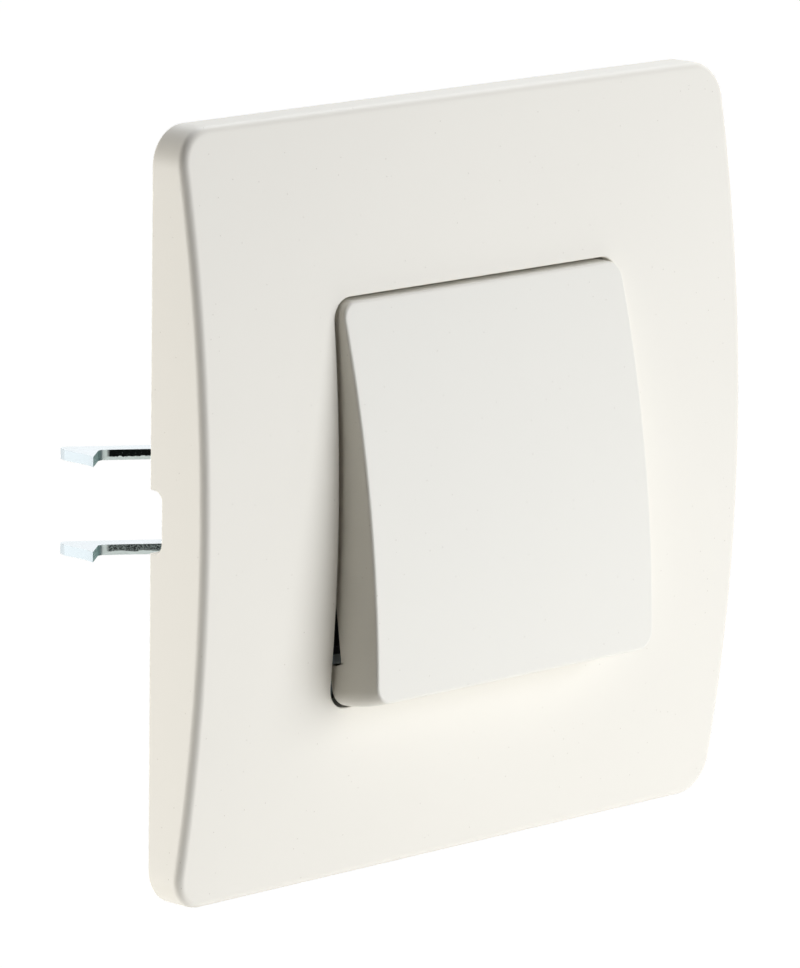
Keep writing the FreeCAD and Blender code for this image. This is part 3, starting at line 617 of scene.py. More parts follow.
# Moulded nylon: milky white and waxy
WHITE_NYLON = MouldedPlastic("White nylon", "#e6e6e0", "#e0e0da", roughness=0.5)
# Pressed thermoset: dark grey, dull and faintly speckled
GREY_PLASTIC = MouldedPlastic(
    "Grey thermoset plastic", "#404245", "#3b3d40", "#55585b", roughness=0.55
)
# Rolled strip: yellow, with fine streaks along it
BRASS = DrawnMetal("Rolled brass", "#d9b15c", "#c79c47", 0.32, Axis.Z)
# Drawn wire and strip: mid grey and streaked
SPRING_STEEL = DrawnMetal("Spring steel", "#b9bcc0", "#9b9ea3", 0.3)
# Pressed contact tips: pale and smooth
SILVER = DrawnMetal("Silver contact alloy", "#e6e4df", "#d5d3cd", 0.28)
# Turned and then plated: bright grey, streaked along the axis
TURNED_ZINC = DrawnMetal("Zinc plated turned steel", "#d4d8da", "#bcc2c0", 0.3, Axis.Y)
# Sheared and then plated: bright flats and torn edges, with painted shade and a painted highlight
# on the edges
CLAW_ZINC = ShearedSheet("Zinc plated sheared sheet steel", "#dce2e6", "#d0d8d9")
# Stamped and plated: an even grey, darkened as painted shade for the gaps round the button, that
# mirrors little
SHADED_FRAME_ZINC = PlatedSteel(
    "Zinc plated sheet steel", "#8b9092", "#7e8583", 0.5, scratch_depth_mm=0.001
)


@dataclass
class Skin:
    """Points and faces of one closed surface.

    Args:
        points: Places in millimetres, one row each.
        faces: Arrays of point numbers, one row for each face, all rows of an array of one length.
    """

    points: np.ndarray
    faces: list[np.ndarray]

    @classmethod
    def from_grid(
        cls, grid: np.ndarray, ring: bool, ends: Sequence[Sequence[float]] = ()
    ) -> Skin:
        """Join a grid's neighbours with quads, round its columns and, for a ring, its rows too.

        Args:
            grid: Rows by columns by X, Y and Z.
            ring: Whether the last row joins the first.
            ends: For a grid that is no ring, the two poles that close its first and last rows.

        Returns:
            The closed skin, facing outwards.
        """
        rows, columns = grid.shape[:2]
        number = np.arange(rows * columns).reshape(rows, columns)
        upper = np.roll(number, -1, axis=0) if ring else number[1:]
        lower = number if ring else number[:-1]
        quads = np.stack(
            [lower, np.roll(lower, -1, 1), np.roll(upper, -1, 1), upper], axis=-1
        ).reshape(-1, 4)
        points = grid.reshape(-1, 3)
        faces = [quads]
        if not ring:
            points = np.vstack([points, np.asarray(ends, float)])
            first = np.full(columns, rows * columns)
            faces.append(np.column_stack([first, np.roll(number[0], -1), number[0]]))
            faces.append(np.column_stack([first + 1, number[-1], np.roll(number[-1], -1)]))
        return cls(points, faces).outward()

    @classmethod
    def prism(cls, outline: np.ndarray, low: float, high: float, along: Axis) -> Skin:
        """Carry a flat outline straight along an axis and close both ends.

        Args:
            outline: Corners in the two other axes, in the frame's order.
            low: Where the prism starts along the axis.
            high: Where it ends.
            along: The axis.

        Returns:
            The closed skin, facing outwards.
        """
        count = len(outline)
        ends = [np.insert(outline, along.value, place, axis=1) for place in (low, high)]
        number = np.arange(count)
        after = np.roll(number, -1)
        walls = np.column_stack([number, after, after + count, number + count])
        caps = np.stack([number[::-1], number + count])
        return cls(np.vstack(ends), [walls, caps]).outward()

    def volume(self) -> float:
        """Returns: The signed volume, from each face's fan of triangles about its first corner."""
        total = 0.0
        for faces in self.faces:
            corners = self.points[faces]
            first, rest = corners[:, :1], corners[:, 1:]
            total += float(np.sum(first * np.cross(rest[:, :-1], rest[:, 1:]))) / 6.0
        return total

    def outward(self) -> Skin:
        """Returns: The skin with its faces turned outwards."""
        if self.volume() >= 0.0:
            return self
        return Skin(self.points, [faces[:, ::-1] for faces in self.faces])

    def moved(self, turn: np.ndarray, shift: Sequence[float]) -> Skin:
        """Turn the skin about the origin and then shift it.

        Args:
            turn: A rotation matrix.
            shift: Millimetres along X, Y and Z.

        Returns:
            The moved skin.
        """
        return Skin(self.points @ turn.T + np.asarray(shift), self.faces)


def make_object(
    name: str, skins: Sequence[Skin], sharp_deg: float = SHARP_DEG
) -> bpy.types.Object:
    """Make one object from closed skins, smooth but for its sharp edges.

    Args:
        name: The object's name.
        skins: The skins it holds.
        sharp_deg: Faces that meet at more than this angle keep a sharp edge.

    Returns:
        The object, at the origin.
    """
    starts = np.cumsum([0] + [len(skin.points) for skin in skins])
    points = np.vstack([skin.points for skin in skins]) * MM
    faces: list[list[int]] = []
    for start, skin in zip(starts, skins):
        for part in skin.faces:
            faces += (part + start).tolist()
    mesh = bpy.data.meshes.new(name)
    mesh.from_pydata(points, [], faces)
    mesh.update()
    piece = bpy.data.objects.new(name, mesh)
    bpy.context.scene.collection.objects.link(piece)
    mesh.shade_smooth()
    mesh.set_sharp_from_angle(angle=math.radians(sharp_deg))
    LOG.info("%s: %d faces", name, len(faces))
    return piece


def bevel(piece: bpy.types.Object, width_mm: float, segments: int = 2) -> None:
    """Break a piece's sharp edges.

    Args:
        piece: The object.
        width_mm: Width of the broken edge.
        segments: Steps across it.
    """
    modifier = piece.modifiers.new("broken_edges", "BEVEL")
    modifier.width = width_mm * MM
    modifier.segments = segments
    modifier.limit_method = "ANGLE"
    modifier.angle_limit = math.radians(BREAK_DEG)
    modifier.harden_normals = True


def install(
    piece: bpy.types.Object, body: str, finish: Finish, nodes: Iterable[str] = ()
) -> None:
    """Put a finished piece on its body in place of the nodes it stands for.

    Args:
        piece: The object.
        body: The CAD body it moves with.
        finish: Its finish.
        nodes: The CAD nodes it stands for.
    """
    finish.dress(piece)
    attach(piece, body)
    for node in nodes:
        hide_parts(node)


def merged_copy(node: bpy.types.Object, name: str, width_mm: float) -> bpy.types.Object:
    """Copy a CAD node, join its loose triangles into faces and break its sharp edges.

    Args:
        node: The node's object.
        name: Name of the copy.
        width_mm: Width of the broken edges.

    Returns:
        The copy, at the origin.
    """
    mesh = node.data.copy()
    mesh.name = name
    work = bmesh.new()
    work.from_mesh(mesh)
    bmesh.ops.remove_doubles(work, verts=work.verts, dist=JOIN_MM * MM)
    level = math.radians(FLAT_DEG)
    bmesh.ops.dissolve_limit(work, angle_limit=level, verts=work.verts, edges=work.edges)
    work.to_mesh(mesh)
    work.free()
    mesh.shade_smooth()
    mesh.set_sharp_from_angle(angle=math.radians(SHARP_DEG))
    piece = bpy.data.objects.new(name, mesh)
    piece.matrix_world = node.matrix_world
    bpy.context.scene.collection.objects.link(piece)
    bevel(piece, width_mm)
    LOG.info("%s: copied with %d faces", name, len(mesh.polygons))
    return piece


@dataclass(frozen=True)
class Bow:
    """A face that bows out along Z: an arc of a circle through its middle and its two ends.

    Args:
        half: Half the arc's chord.
        apex: Height of its middle.
        rise: How far the middle stands above the ends.
    """

    half: float
    apex: float
    rise: float

    @property
    def radius(self) -> float:
        """Returns: The arc's radius."""
        return (self.half**2 + self.rise**2) / (2.0 * self.rise)

    def height(self, z: np.ndarray) -> np.ndarray:
        """Work out the face's height.

        Args:
            z: Places along the bow.

        Returns:
            Heights above the wall plane.
        """
        return self.apex - self.radius + np.sqrt(self.radius**2 - z**2)

    def fall(self, z: np.ndarray) -> np.ndarray:
        """Work out how steeply the face falls away from its middle.

        Args:
            z: Places along the bow.

        Returns:
            Fall in height for each unit along Z.
        """
        return z / np.sqrt(self.radius**2 - z**2)


@dataclass(frozen=True)
class Loop:
    """A rectangle with round corners, walked once round from the right side by way of the top.

    Args:
        half_x: Half its width.
        half_z: Half its height.
        corner: Radius of its corners.
        shares: Places along each of its four straight sides, from -1 to 1.
        bends: Steps across each corner.
    """

    half_x: float
    half_z: float
    corner: float
    shares: np.ndarray
    bends: int = 12

    def walk(self) -> tuple[np.ndarray, np.ndarray]:
        """Place each side's points by its shares, and each corner's on a quarter of a circle.

        Returns:
            Places in X and Z, and the outward normals there.
        """
        quarter = np.arange(4)[:, None] * (np.pi / 2.0)
        out = np.where(np.arange(4) % 2 == 0, self.half_x, self.half_z)[:, None] - self.corner
        along = np.where(np.arange(4) % 2 == 0, self.half_z, self.half_x)[:, None] - self.corner
        turn = between(self.bends - 1) * (np.pi / 2.0)
        count = self.shares.shape[1]
        angle = np.hstack([np.repeat(quarter, count, axis=1), quarter + turn])
        shift = np.hstack([self.shares * along, np.repeat(along, len(turn), axis=1)])
        normal = np.stack([np.cos(angle), np.sin(angle)], axis=-1)
        ahead = np.stack([-np.sin(quarter), np.cos(quarter)], axis=-1)
        outward = np.stack([np.cos(quarter), np.sin(quarter)], axis=-1)
        places = outward * out[..., None] + ahead * shift[..., None] + normal * self.corner
        return places.reshape(-1, 2), normal.reshape(-1, 2)


def between(count: int) -> np.ndarray:
    """Spread shares evenly between 0 and 1.

    Args:
        count: How many.

    Returns:
        The shares, without 0 and 1.
    """
    return np.linspace(0.0, 1.0, count + 2)[1:-1]


def row_at(places: np.ndarray, height: np.ndarray | float) -> np.ndarray:
    """Raise a loop's places to a height.

    Args:
        places: X and Z of each point.
        height: Height above the wall plane, one for all or one each.

    Returns:
        One grid row of X, Y and Z.
    """
    level = np.broadcast_to(-np.asarray(height, float), len(places))
    return np.column_stack([places[:, 0], level, places[:, 1]])[None]


def rolled_edge(
    bow: Bow, places: np.ndarray, normals: np.ndarray, radius: float, steps: int = 9
) -> np.ndarray:
    """Round the edge between an upright wall and a bowed face, as a ball rolled along both would.

    The ball's centre stays one radius inside the wall and one radius under the face, so each column
    is an arc from the wall's direction to the face's normal. A row on the wall just before it keeps
    the wall flat.

    Args:
        bow: The face.
        places: X and Z of the wall.
        normals: The wall's outward normals.
        radius: The ball's radius.
        steps: Rows across the edge.

    Returns:
        Grid rows from the wall to the face.
    """
    inside = places - normals * radius
    slope = normals[:, 1] * bow.fall(inside[:, 1])
    centre = bow.height(inside[:, 1]) - radius * np.sqrt(1.0 + slope**2)
    share = np.linspace(0.0, 1.0, steps)[:, None]
    angle = np.pi + share * (np.arctan2(1.0, -slope) - np.pi)
    spots = places - normals * (radius * (1.0 + np.cos(angle)))[..., None]
    height = centre + radius * np.sin(angle)
    arc = np.stack([spots[..., 0], -height, spots[..., 1]], axis=-1)
    return np.concatenate([row_at(places, centre - HOLD), arc])


def rolled_rim(
    places: np.ndarray, normals: np.ndarray, rim: np.ndarray, radius: float, steps: int = 5
) -> np.ndarray:
    """Round the edge between a wall and the rim behind it, with a quarter circle in each column.

    A row on the wall just after it keeps the wall flat.

    Args:
        places: X and Z of the wall.
        normals: The wall's outward normals.
        rim: Height of the rim in each column.
        radius: The edge's radius.
        steps: Rows across the edge.

    Returns:
        Grid rows from the rim to the wall.
    """
    angle = np.linspace(0.0, np.pi / 2.0, steps)[:, None]
    spots = places - normals * (radius * (1.0 - np.sin(angle)))[..., None]
    height = rim + radius * (1.0 - np.cos(angle))
    arc = np.stack([spots[..., 0], -height, spots[..., 1]], axis=-1)
    return np.concatenate([arc, row_at(places, rim + radius + HOLD)])


def rows_over(bow: Bow, start: np.ndarray, end: np.ndarray, shares: np.ndarray) -> np.ndarray:
    """Lay rows over a bowed face between two rows of points.

    Args:
        bow: The face.
        start: The row that the first share counts from.
        end: The row that it counts to.
        shares: Where each new row lies between them.

    Returns:
        Grid rows on the face.
    """
    rows = start + (end - start) * shares[:, None, None]
    rows[..., 1] = -bow.height(rows[..., 2])
    return rows


def stepped_sides(
    reach: float, outline: np.ndarray, runs: int, spread: float
) -> tuple[np.ndarray, np.ndarray, np.ndarray]:
    """Share out the points of a loop whose left and right sides have a step in their rim.

    The face gets evenly spaced points and the rim the step's outline, both with the same number.

    Args:
        reach: Half the straight length of a side.
        outline: Z and height of the step's corners, from its lower to its upper end.
        runs: Points on either side of the step.
        spread: Half the length of the face's share that belongs to the step.

    Returns:
        Shares of the face's loop, shares of the rim's loop and the rim's heights on a side.
    """
    count = len(outline)
    first, last = outline[0, 0], outline[-1, 0]
    face = np.hstack(
        [
            np.linspace(-reach, -spread, runs, endpoint=False),
            np.linspace(-spread, spread, count),
            np.linspace(spread, reach, runs + 1)[1:],
        ]
    )
    rim = np.hstack(
        [
            np.linspace(-reach, first, runs, endpoint=False),
            outline[:, 0],
            np.linspace(last, reach, runs + 1)[1:],
        ]
    )
    low, high = np.full(runs, outline[0, 1]), np.full(runs, outline[-1, 1])
    height = np.hstack([low, outline[:, 1], high])
    return face / reach, rim / reach, height


def quarter_bend(
    centre: tuple[float, float], radius: float, start_deg: float, steps: int = 6
) -> np.ndarray:
    """Walk a quarter circle clockwise.

    Args:
        centre: Its centre.
        radius: Its radius.
        start_deg: The direction it starts in.
        steps: Points on it.

    Returns:
        The points.
    """
    angle = np.radians(start_deg) - np.linspace(0.0, np.pi / 2.0, steps)
    return centre + radius * np.column_stack([np.cos(angle), np.sin(angle)])


def near_ends(count: int, hold: float) -> np.ndarray:
    """Spread shares from 0 to 1, with one close to each end so that a rounded edge stays narrow.

    Args:
        count: Rows between the two close ones.
        hold: Share between an end and its close row.

    Returns:
        The shares, without 0 and 1.
    """
    return np.hstack([hold, between(count), 1.0 - hold])


@dataclass
class CoverPlate:
    """The bowed ivory plate: a closed profile carried round its opening, with clips and rests."""

    half: float = 40.0
    face: Bow = Bow(40.0, 8.0, 4.14)
    inner_face: Bow = Bow(38.1, 6.1, 4.14)
    corner: float = 4.0
    edge_round: float = 0.9
    rim_round: float = 0.25
    wall: float = 1.9
    opening_half: tuple[float, float] = (21.03, 21.3)
    opening_corner: float = 2.4
    opening_round: float = 0.15
    collar_wall: float = 1.3
    collar_rear: float = 2.8
    notch_half: float = 3.25
    notch_depth: float = 1.65
    notch_corner: float = 1.1
    clip_x: float = 24.0
    clip_z: float = 32.0
    clip_half: float = 2.0
    clip_thick: float = 1.2
    clip_hook: float = 0.6
    clip_reach: float = 1.3
    clip_root: float = -4.2
    rest_spread: float = 32.5
    rest_half: tuple[float, float] = (2.5, 0.7)
    rest_end: float = -1.0
    side_runs: int = 18
    notch_spread: float = 9.0
    edge_steps: int = 11
    mouth_steps: int = 6
    front_rows: int = 26
    front_hold: float = 0.006
    back_rows: int = 8

    def notch_outline(self) -> np.ndarray:
        """Returns: Z and height of the pry notch's corners, from its lower end to its upper one."""
        inner = self.notch_half - self.notch_corner
        shoulder = self.notch_depth - self.notch_corner
        rising = quarter_bend((-inner, shoulder), self.notch_corner, 180.0)
        falling = quarter_bend((inner, shoulder), self.notch_corner, 90.0)
        return np.vstack([[-self.notch_half, 0.0], rising, falling, [self.notch_half, 0.0]])

    def shell(self) -> Skin:
        """Carry the plate's closed profile round the opening.

        Each column runs from the outer wall over the rolled front edge and across the bow to the
        opening, down its wall, round the collar, back under the bow and down to the rim, which is
        lifted at the two notches.

        Returns:
            The plate's shell.
        """
        straight = self.half - self.corner
        face_share, rim_share, rim_side = stepped_sides(
            straight, self.notch_outline(), self.side_runs, self.notch_spread
        )
        even = np.linspace(-1.0, 1.0, len(face_share))
        face_sides = np.stack([face_share, even, face_share, even])
        rim_sides = np.stack([rim_share, even, rim_share, even])
        outer = Loop(self.half, self.half, self.corner, face_sides)
        outer_places, outer_normals = outer.walk()
        rim_places, rim_normals = Loop(self.half, self.half, self.corner, rim_sides).walk()
        cavity = self.half - self.wall
        cavity_corner = self.corner - self.wall
        cavity_places, _ = Loop(cavity, cavity, cavity_corner, face_sides).walk()
        cavity_rim, _ = Loop(cavity, cavity, cavity_corner, rim_sides).walk()
        opening = Loop(*self.opening_half, self.opening_corner, face_sides)
        opening_places, opening_normals = opening.walk()
        collar_places = opening_places + opening_normals * self.collar_wall
        blank = np.zeros(outer.bends - 1)
        flat = np.zeros(len(even) + len(blank))
        notched = np.hstack([rim_side, blank])
        rim = np.hstack([notched, flat, notched, flat])

        edge = rolled_edge(
            self.face, outer_places, outer_normals, self.edge_round, self.edge_steps
        )
        mouth = rolled_edge(
            self.face, opening_places, -opening_normals, self.opening_round, self.mouth_steps
        )[::-1]
        across = near_ends(self.front_rows, self.front_hold)
        front = rows_over(self.face, edge[-1], mouth[0], across)
        collar_top = row_at(collar_places, self.inner_face.height(collar_places[:, 1]))
        cavity_top = row_at(cavity_places, self.inner_face.height(cavity_places[:, 1]))
        under = between(self.back_rows)
        grid = np.concatenate(
            [
                edge,
                front,
                mouth,
                row_at(opening_places, self.collar_rear),
                row_at(collar_places, self.collar_rear),
                collar_top,
                rows_over(self.inner_face, collar_top[0], cavity_top[0], under),
                cavity_top,
                row_at(cavity_rim, rim),
                rolled_rim(rim_places, rim_normals, rim, self.rim_round),
            ]
        )
        return Skin.from_grid(grid, ring=True)

    def clips(self) -> list[Skin]:
        """Returns: The four snap legs, each a hooked outline carried along X."""
        top = self.clip_z + self.clip_thick
        catch = self.clip_hook / 4.0
        outline = np.array(
            [
                (self.clip_root, self.clip_z),
                (self.clip_reach, self.clip_z),
                (self.clip_reach, top),
                (catch, top + self.clip_hook),
                (catch, top),
                (self.clip_root, top),
            ]
        )
        half = self.clip_half
        return [
            Skin.prism(outline * (1.0, upright), x - half, x + half, Axis.X)
            for upright in (-1.0, 1.0)
            for x in (-self.clip_x, self.clip_x)
        ]

    def rests(self) -> list[Skin]:
        """Returns: The four blades that stand on the frame, each a rectangle carried along Y."""
        corners = np.array([(-1.0, -1.0), (1.0, -1.0), (1.0, 1.0), (-1.0, 1.0)]) * self.rest_half
        return [
            Skin.prism(corners + (x, z), self.clip_root, self.rest_end, Axis.Y)
            for x in (-self.rest_spread, self.rest_spread)
            for z in (-self.rest_spread, self.rest_spread)
        ]

    def build(self) -> None:
        """Make the plate and put it in the CAD node's place."""
        piece = make_object("ivory_cover_plate", [self.shell(), *self.clips(), *self.rests()])
        install(piece, "base", IVORY_PLATE, ["cover_plate"])


@dataclass
class Button:
    """The hollow bowed button, drawn about its axle and tilted to rest."""

    half: tuple[float, float] = (20.65, 20.534)
    end_radius: float = 21.0
    face: Bow = Bow(20.534, 5.8, 1.4)
    inner_face: Bow = Bow(18.934, 4.0, 1.4)
    corner: float = 1.9
    inner_corner: float = 0.7
    edge_round: float = 0.3
    rim_round: float = 0.2
    wall: float = 1.6
    skirt: float = -0.45
    tab: float = -2.1
    tab_start: float = 16.5
    step_round: float = 0.35
    rib_x: float = 8.0
    rib_half: tuple[float, float] = (0.6, 10.0)
    rib_reach: tuple[float, float] = (-4.9, -3.3)
    hook_x: float = 5.0
    hook_half: float = 2.0
    hook_low: float = 12.1
    hook_thick: float = 1.2
    hook_lip: float = 0.6
    hook_catch: float = -2.0
    hook_end: float = -1.3
    pivot_y: float = -6.2
    tilt_deg: float = 8.0
    side_runs: int = 8
    step_spread: float = 16.9
    wall_rows: int = 7
    front_rows: int = 18
    front_hold: float = 0.01
    back_rows: int = 4

    def step_outline(self) -> np.ndarray:
        """Returns: Z and height of the rim, from the lower tab over the skirt to the upper tab."""
        start, soft = self.tab_start, self.step_round
        rising = quarter_bend((soft - start, self.skirt - soft), soft, 180.0)
        falling = quarter_bend((start - soft, self.skirt - soft), soft, 90.0)
        return np.vstack([[-start, self.tab], rising, falling, [start, self.tab]])

    def curve_ends(self, rows: np.ndarray) -> np.ndarray:
        """Curve the end walls about the axle: at a height h they stand at the root of R2 less h2.

        Args:
            rows: Grid rows of the upright wall.

        Returns:
            The rows with the two ends and their corners moved out.
        """
        z = rows[..., 2]
        full = self.half[1] - self.corner
        share = np.clip((np.abs(z) - self.tab_start) / (full - self.tab_start), 0.0, 1.0)
        moved = rows.copy()
        end = np.sqrt(self.end_radius**2 - rows[..., 1] ** 2)
        moved[..., 2] += np.sign(z) * share * (end - self.half[1])
        return moved

    def shell(self) -> Skin:
        """Carry the button's profile round from the middle of its face to the middle of its inside.

        Returns:
            The button's shell, about its axle.
        """
        straight = self.half[1] - self.corner
        face_share, rim_share, rim_side = stepped_sides(
            straight, self.step_outline(), self.side_runs, self.step_spread
        )
        even = np.linspace(-1.0, 1.0, len(face_share))
        face_sides = np.stack([face_share, even, face_share, even])
        rim_sides = np.stack([rim_share, even, rim_share, even])
        outer = Loop(*self.half, self.corner, face_sides)
        places, normals = outer.walk()
        rim_places, rim_normals = Loop(*self.half, self.corner, rim_sides).walk()
        inner = tuple(half - self.wall for half in self.half)
        within = straight / (inner[1] - self.inner_corner)
        inner_places, _ = Loop(*inner, self.inner_corner, face_sides * within).walk()
        inner_rim, _ = Loop(*inner, self.inner_corner, rim_sides * within).walk()
        corner_rim = np.full(outer.bends - 1, self.tab)
        level = np.full(len(even) + len(corner_rim), self.tab)
        stepped = np.hstack([rim_side, corner_rim])
        rim = np.hstack([stepped, level, stepped, level])

        edge = rolled_edge(self.face, places, normals, self.edge_round)[::-1]
        skirt = rolled_rim(rim_places, rim_normals, rim, self.rim_round)[::-1]
        down = between(self.wall_rows)[:, None, None]
        wall = edge[-1] + (skirt[0] - edge[-1]) * down
        middle = np.array([0.0, -self.face.apex, 0.0])
        shares = np.hstack([between(self.front_rows), 1.0 - self.front_hold])
        front = rows_over(self.face, np.broadcast_to(middle, edge[0].shape), edge[0], shares)
        ceiling = row_at(inner_places, self.inner_face.height(inner_places[:, 1]))
        back = np.array([0.0, -self.inner_face.apex, 0.0])
        shrink = between(self.back_rows)
        centre = np.broadcast_to(back, ceiling[0].shape)
        grid = np.concatenate(
            [
                front,
                self.curve_ends(np.concatenate([edge, wall, skirt])),
                row_at(inner_rim, rim),
                ceiling,
                rows_over(self.inner_face, ceiling[0], centre, shrink),
            ]
        )
        return Skin.from_grid(grid, ring=False, ends=(middle, back))

    def fittings(self) -> list[Skin]:
        """Returns: The ribs and hooks inside, each an outline carried along X."""
        front, rear = self.rib_reach
        half_x, half_z = self.rib_half
        blade = np.array([(front, -half_z), (rear, -half_z), (rear, half_z), (front, half_z)])
        ribs = [
            Skin.prism(blade, x - half_x, x + half_x, Axis.X) for x in (-self.rib_x, self.rib_x)
        ]
        outer = self.hook_low + self.hook_thick
        hook = np.array(
            [
                (front, self.hook_low),
                (self.hook_catch, self.hook_low),
                (self.hook_catch, self.hook_low - self.hook_lip),
                (self.hook_end, self.hook_low),
                (self.hook_end, outer),
                (front, outer),
            ]
        )
        hooks = [
            Skin.prism(hook * (1.0, upright), x - self.hook_half, x + self.hook_half, Axis.X)
            for upright in (-1.0, 1.0)
            for x in (-self.hook_x, self.hook_x)
        ]
        return ribs + hooks

    def build(self) -> None:
        """Make the button at its rest tilt and put it in the CAD node's place."""
        turn = np.array(Matrix.Rotation(math.radians(-self.tilt_deg), 3, "X"))
        axle = (0.0, self.pivot_y, 0.0)
        skins = [skin.moved(turn, axle) for skin in [self.shell(), *self.fittings()]]
        piece = make_object("ivory_button", skins)
        install(piece, "rocker", IVORY_BUTTON, ["button"])


@dataclass
class CoilSpring:
    """A coil of round wire: a circle carried along a helix about Y.

    Args:
        node: The CAD node it stands for.
        body: The body it moves with.
        front: Where its first turn rests.
        rear: Where its last turn rests.
        radius: Radius of the coil's middle line.
        turns: Number of turns.
        wire: Radius of the wire.
        axis_z: Height of its axis.
        turn_steps: Steps round each turn.
        wire_sides: Steps round the wire.
        sharp_deg: Faces that meet at more than this angle keep a sharp edge.
    """

    node: str
    body: str
    front: float
    rear: float
    radius: float
    turns: float
    wire: float = 0.3
    axis_z: float = -10.9
    turn_steps: int = 36
    wire_sides: int = 12
    sharp_deg: float = 60.0

    def build(self) -> bpy.types.Object:
        """Sweep the wire's circle, in the helix's own normal and binormal, and close both ends.

        Returns:
            The spring.
        """
        count = int(self.turns * self.turn_steps)
        share = np.linspace(0.0, 1.0, count)[:, None]
        angle = share * self.turns * 2.0 * np.pi
        rise = self.rear - self.front - 2.0 * self.wire
        middle = np.hstack(
            [
                self.radius * np.cos(angle),
                self.front + self.wire + rise * share,
                self.axis_z + self.radius * np.sin(angle),
            ]
        )
        pitch = math.atan2(rise, self.radius * self.turns * 2.0 * np.pi)
        normal = np.hstack([np.cos(angle), np.zeros_like(angle), np.sin(angle)])
        ahead = np.hstack([-np.sin(angle), np.full_like(angle, math.tan(pitch)), np.cos(angle)])
        binormal = np.cross(normal, ahead / np.linalg.norm(ahead, axis=1, keepdims=True))
        round_wire = np.linspace(0.0, 2.0 * np.pi, self.wire_sides, endpoint=False)[None, :, None]
        grid = middle[:, None] + self.wire * (
            np.cos(round_wire) * normal[:, None] + np.sin(round_wire) * binormal[:, None]
        )
        skin = Skin.from_grid(grid, ring=False, ends=(middle[0], middle[-1]))
        piece = make_object(f"{self.node}_coil", [skin], self.sharp_deg)
        install(piece, self.body, SPRING_STEEL, [self.node])
        return piece


@dataclass
class ClawScrew:
    """A slotted screw: a threaded shank whose radius follows a helix, under a slotted head."""

    side: Side
    x: float = 27.0
    z: float = -2.5
    seat: float = -1.05
    end: float = 9.4
    radius: float = 1.5
    thread: float = 0.3
    pitch: float = 0.5
    plain_end: float = 0.6
    sunk: float = 0.3
    head_radius: float = 2.8
    head_thick: float = 2.0
    slot_half: float = 0.4
    slot_depth: float = 1.1
    shank_sides: int = 36
    shank_rows: int = 220
    thread_sharp_deg: float = 75.0
    head_sides: int = 48
    segment_steps: int = 24
    head_break: float = 0.25
    head_break_steps: int = 3

    @property
    def middle_x(self) -> float:
        """Returns: X of the screw's axis."""
        return self.x * self.side.value

    def shank(self) -> Skin:
        """Turn a thread: the core's radius plus a triangle wave along Y that is late by the angle.

        Returns:
            The shank's skin.
        """
        turn = np.linspace(0.0, 2.0 * np.pi, self.shank_sides, endpoint=False)[None]
        along = np.linspace(self.seat - self.sunk, self.end, self.shank_rows)[:, None]
        phase = np.mod(along / self.pitch - turn / (2.0 * np.pi), 1.0)
        ridge = 1.0 - np.abs(2.0 * phase - 1.0)
        taper = np.clip((self.end - along) / self.plain_end, 0.0, 1.0)
        run_in = np.clip((along - self.seat) / self.plain_end, 0.0, 1.0)
        radius = self.radius - self.thread * (1.0 - ridge * taper * run_in)
        grid = np.stack(
            [
                self.middle_x + radius * np.cos(turn),
                np.broadcast_to(along, radius.shape),
                self.z + radius * np.sin(turn),
            ],
            axis=-1,
        )
        ends = [(self.middle_x, float(along[0, 0]), self.z), (self.middle_x, self.end, self.z)]
        return Skin.from_grid(grid, ring=False, ends=ends)

    def head(self) -> list[Skin]:
        """Returns: A disc, and two segments of a disc with the driver's slot between them."""
        floor = self.seat - self.head_thick + self.slot_depth
        turn = np.linspace(0.0, 2.0 * np.pi, self.head_sides, endpoint=False)
        disc = np.column_stack([np.cos(turn), np.sin(turn)]) * self.head_radius
        cut = math.asin(self.slot_half / self.head_radius)
        bow = np.linspace(cut, np.pi - cut, self.segment_steps)
        segment = np.column_stack([np.cos(bow), np.sin(bow)]) * self.head_radius
        place = (self.middle_x, self.z)
        top = self.seat - self.head_thick
        halves = [segment * (1.0, sign) + place for sign in (-1.0, 1.0)]
        return [
            Skin.prism(disc + place, floor, self.seat, Axis.Y),
            *(Skin.prism(half, top, floor, Axis.Y) for half in halves),
        ]

    def build(self) -> None:
        """Make the shank and the head and put them in the CAD node's place."""
        name, body = self.side.label, f"{self.side.label}_claw_screw"
        shank = make_object(f"screw_thread_{name}", [self.shank()], self.thread_sharp_deg)
        install(shank, body, TURNED_ZINC, [f"claw_screw_{name}"])
        head = make_object(f"screw_head_{name}", self.head())
        bevel(head, self.head_break, self.head_break_steps)
        install(head, body, TURNED_ZINC)


@dataclass
class Fixings:
    """The frame, the claws and what holds them: copies of the CAD nodes with broken edges."""

    nodes: dict[str, bpy.types.Object]
    sheet_edge: float = 0.12
    turned_edge: float = 0.24

    def build(self) -> None:
        """Copy each stamped piece, and make the screws."""
        self.copy("support_frame", "base", SHADED_FRAME_ZINC, self.sheet_edge)
        for side in Side:
            name = side.label
            self.copy(f"claw_{name}", f"{name}_claw", CLAW_ZINC, self.sheet_edge)
            self.copy(f"claw_nut_{name}", f"{name}_claw_nut", TURNED_ZINC, self.turned_edge)
            self.copy(f"claw_pin_{name}", "base", TURNED_ZINC, self.turned_edge)
            ClawScrew(side).build()

    def copy(self, node: str, body: str, finish: Finish, width_mm: float) -> None:
        """Put a copy with broken edges in a node's place.

        Args:
            node: The CAD node.
            body: The body it moves with.
            finish: Its finish.
            width_mm: Width of its broken edges.
        """
        piece = merged_copy(self.nodes[node], f"{node}_plated", width_mm)
        install(piece, body, finish, [node])


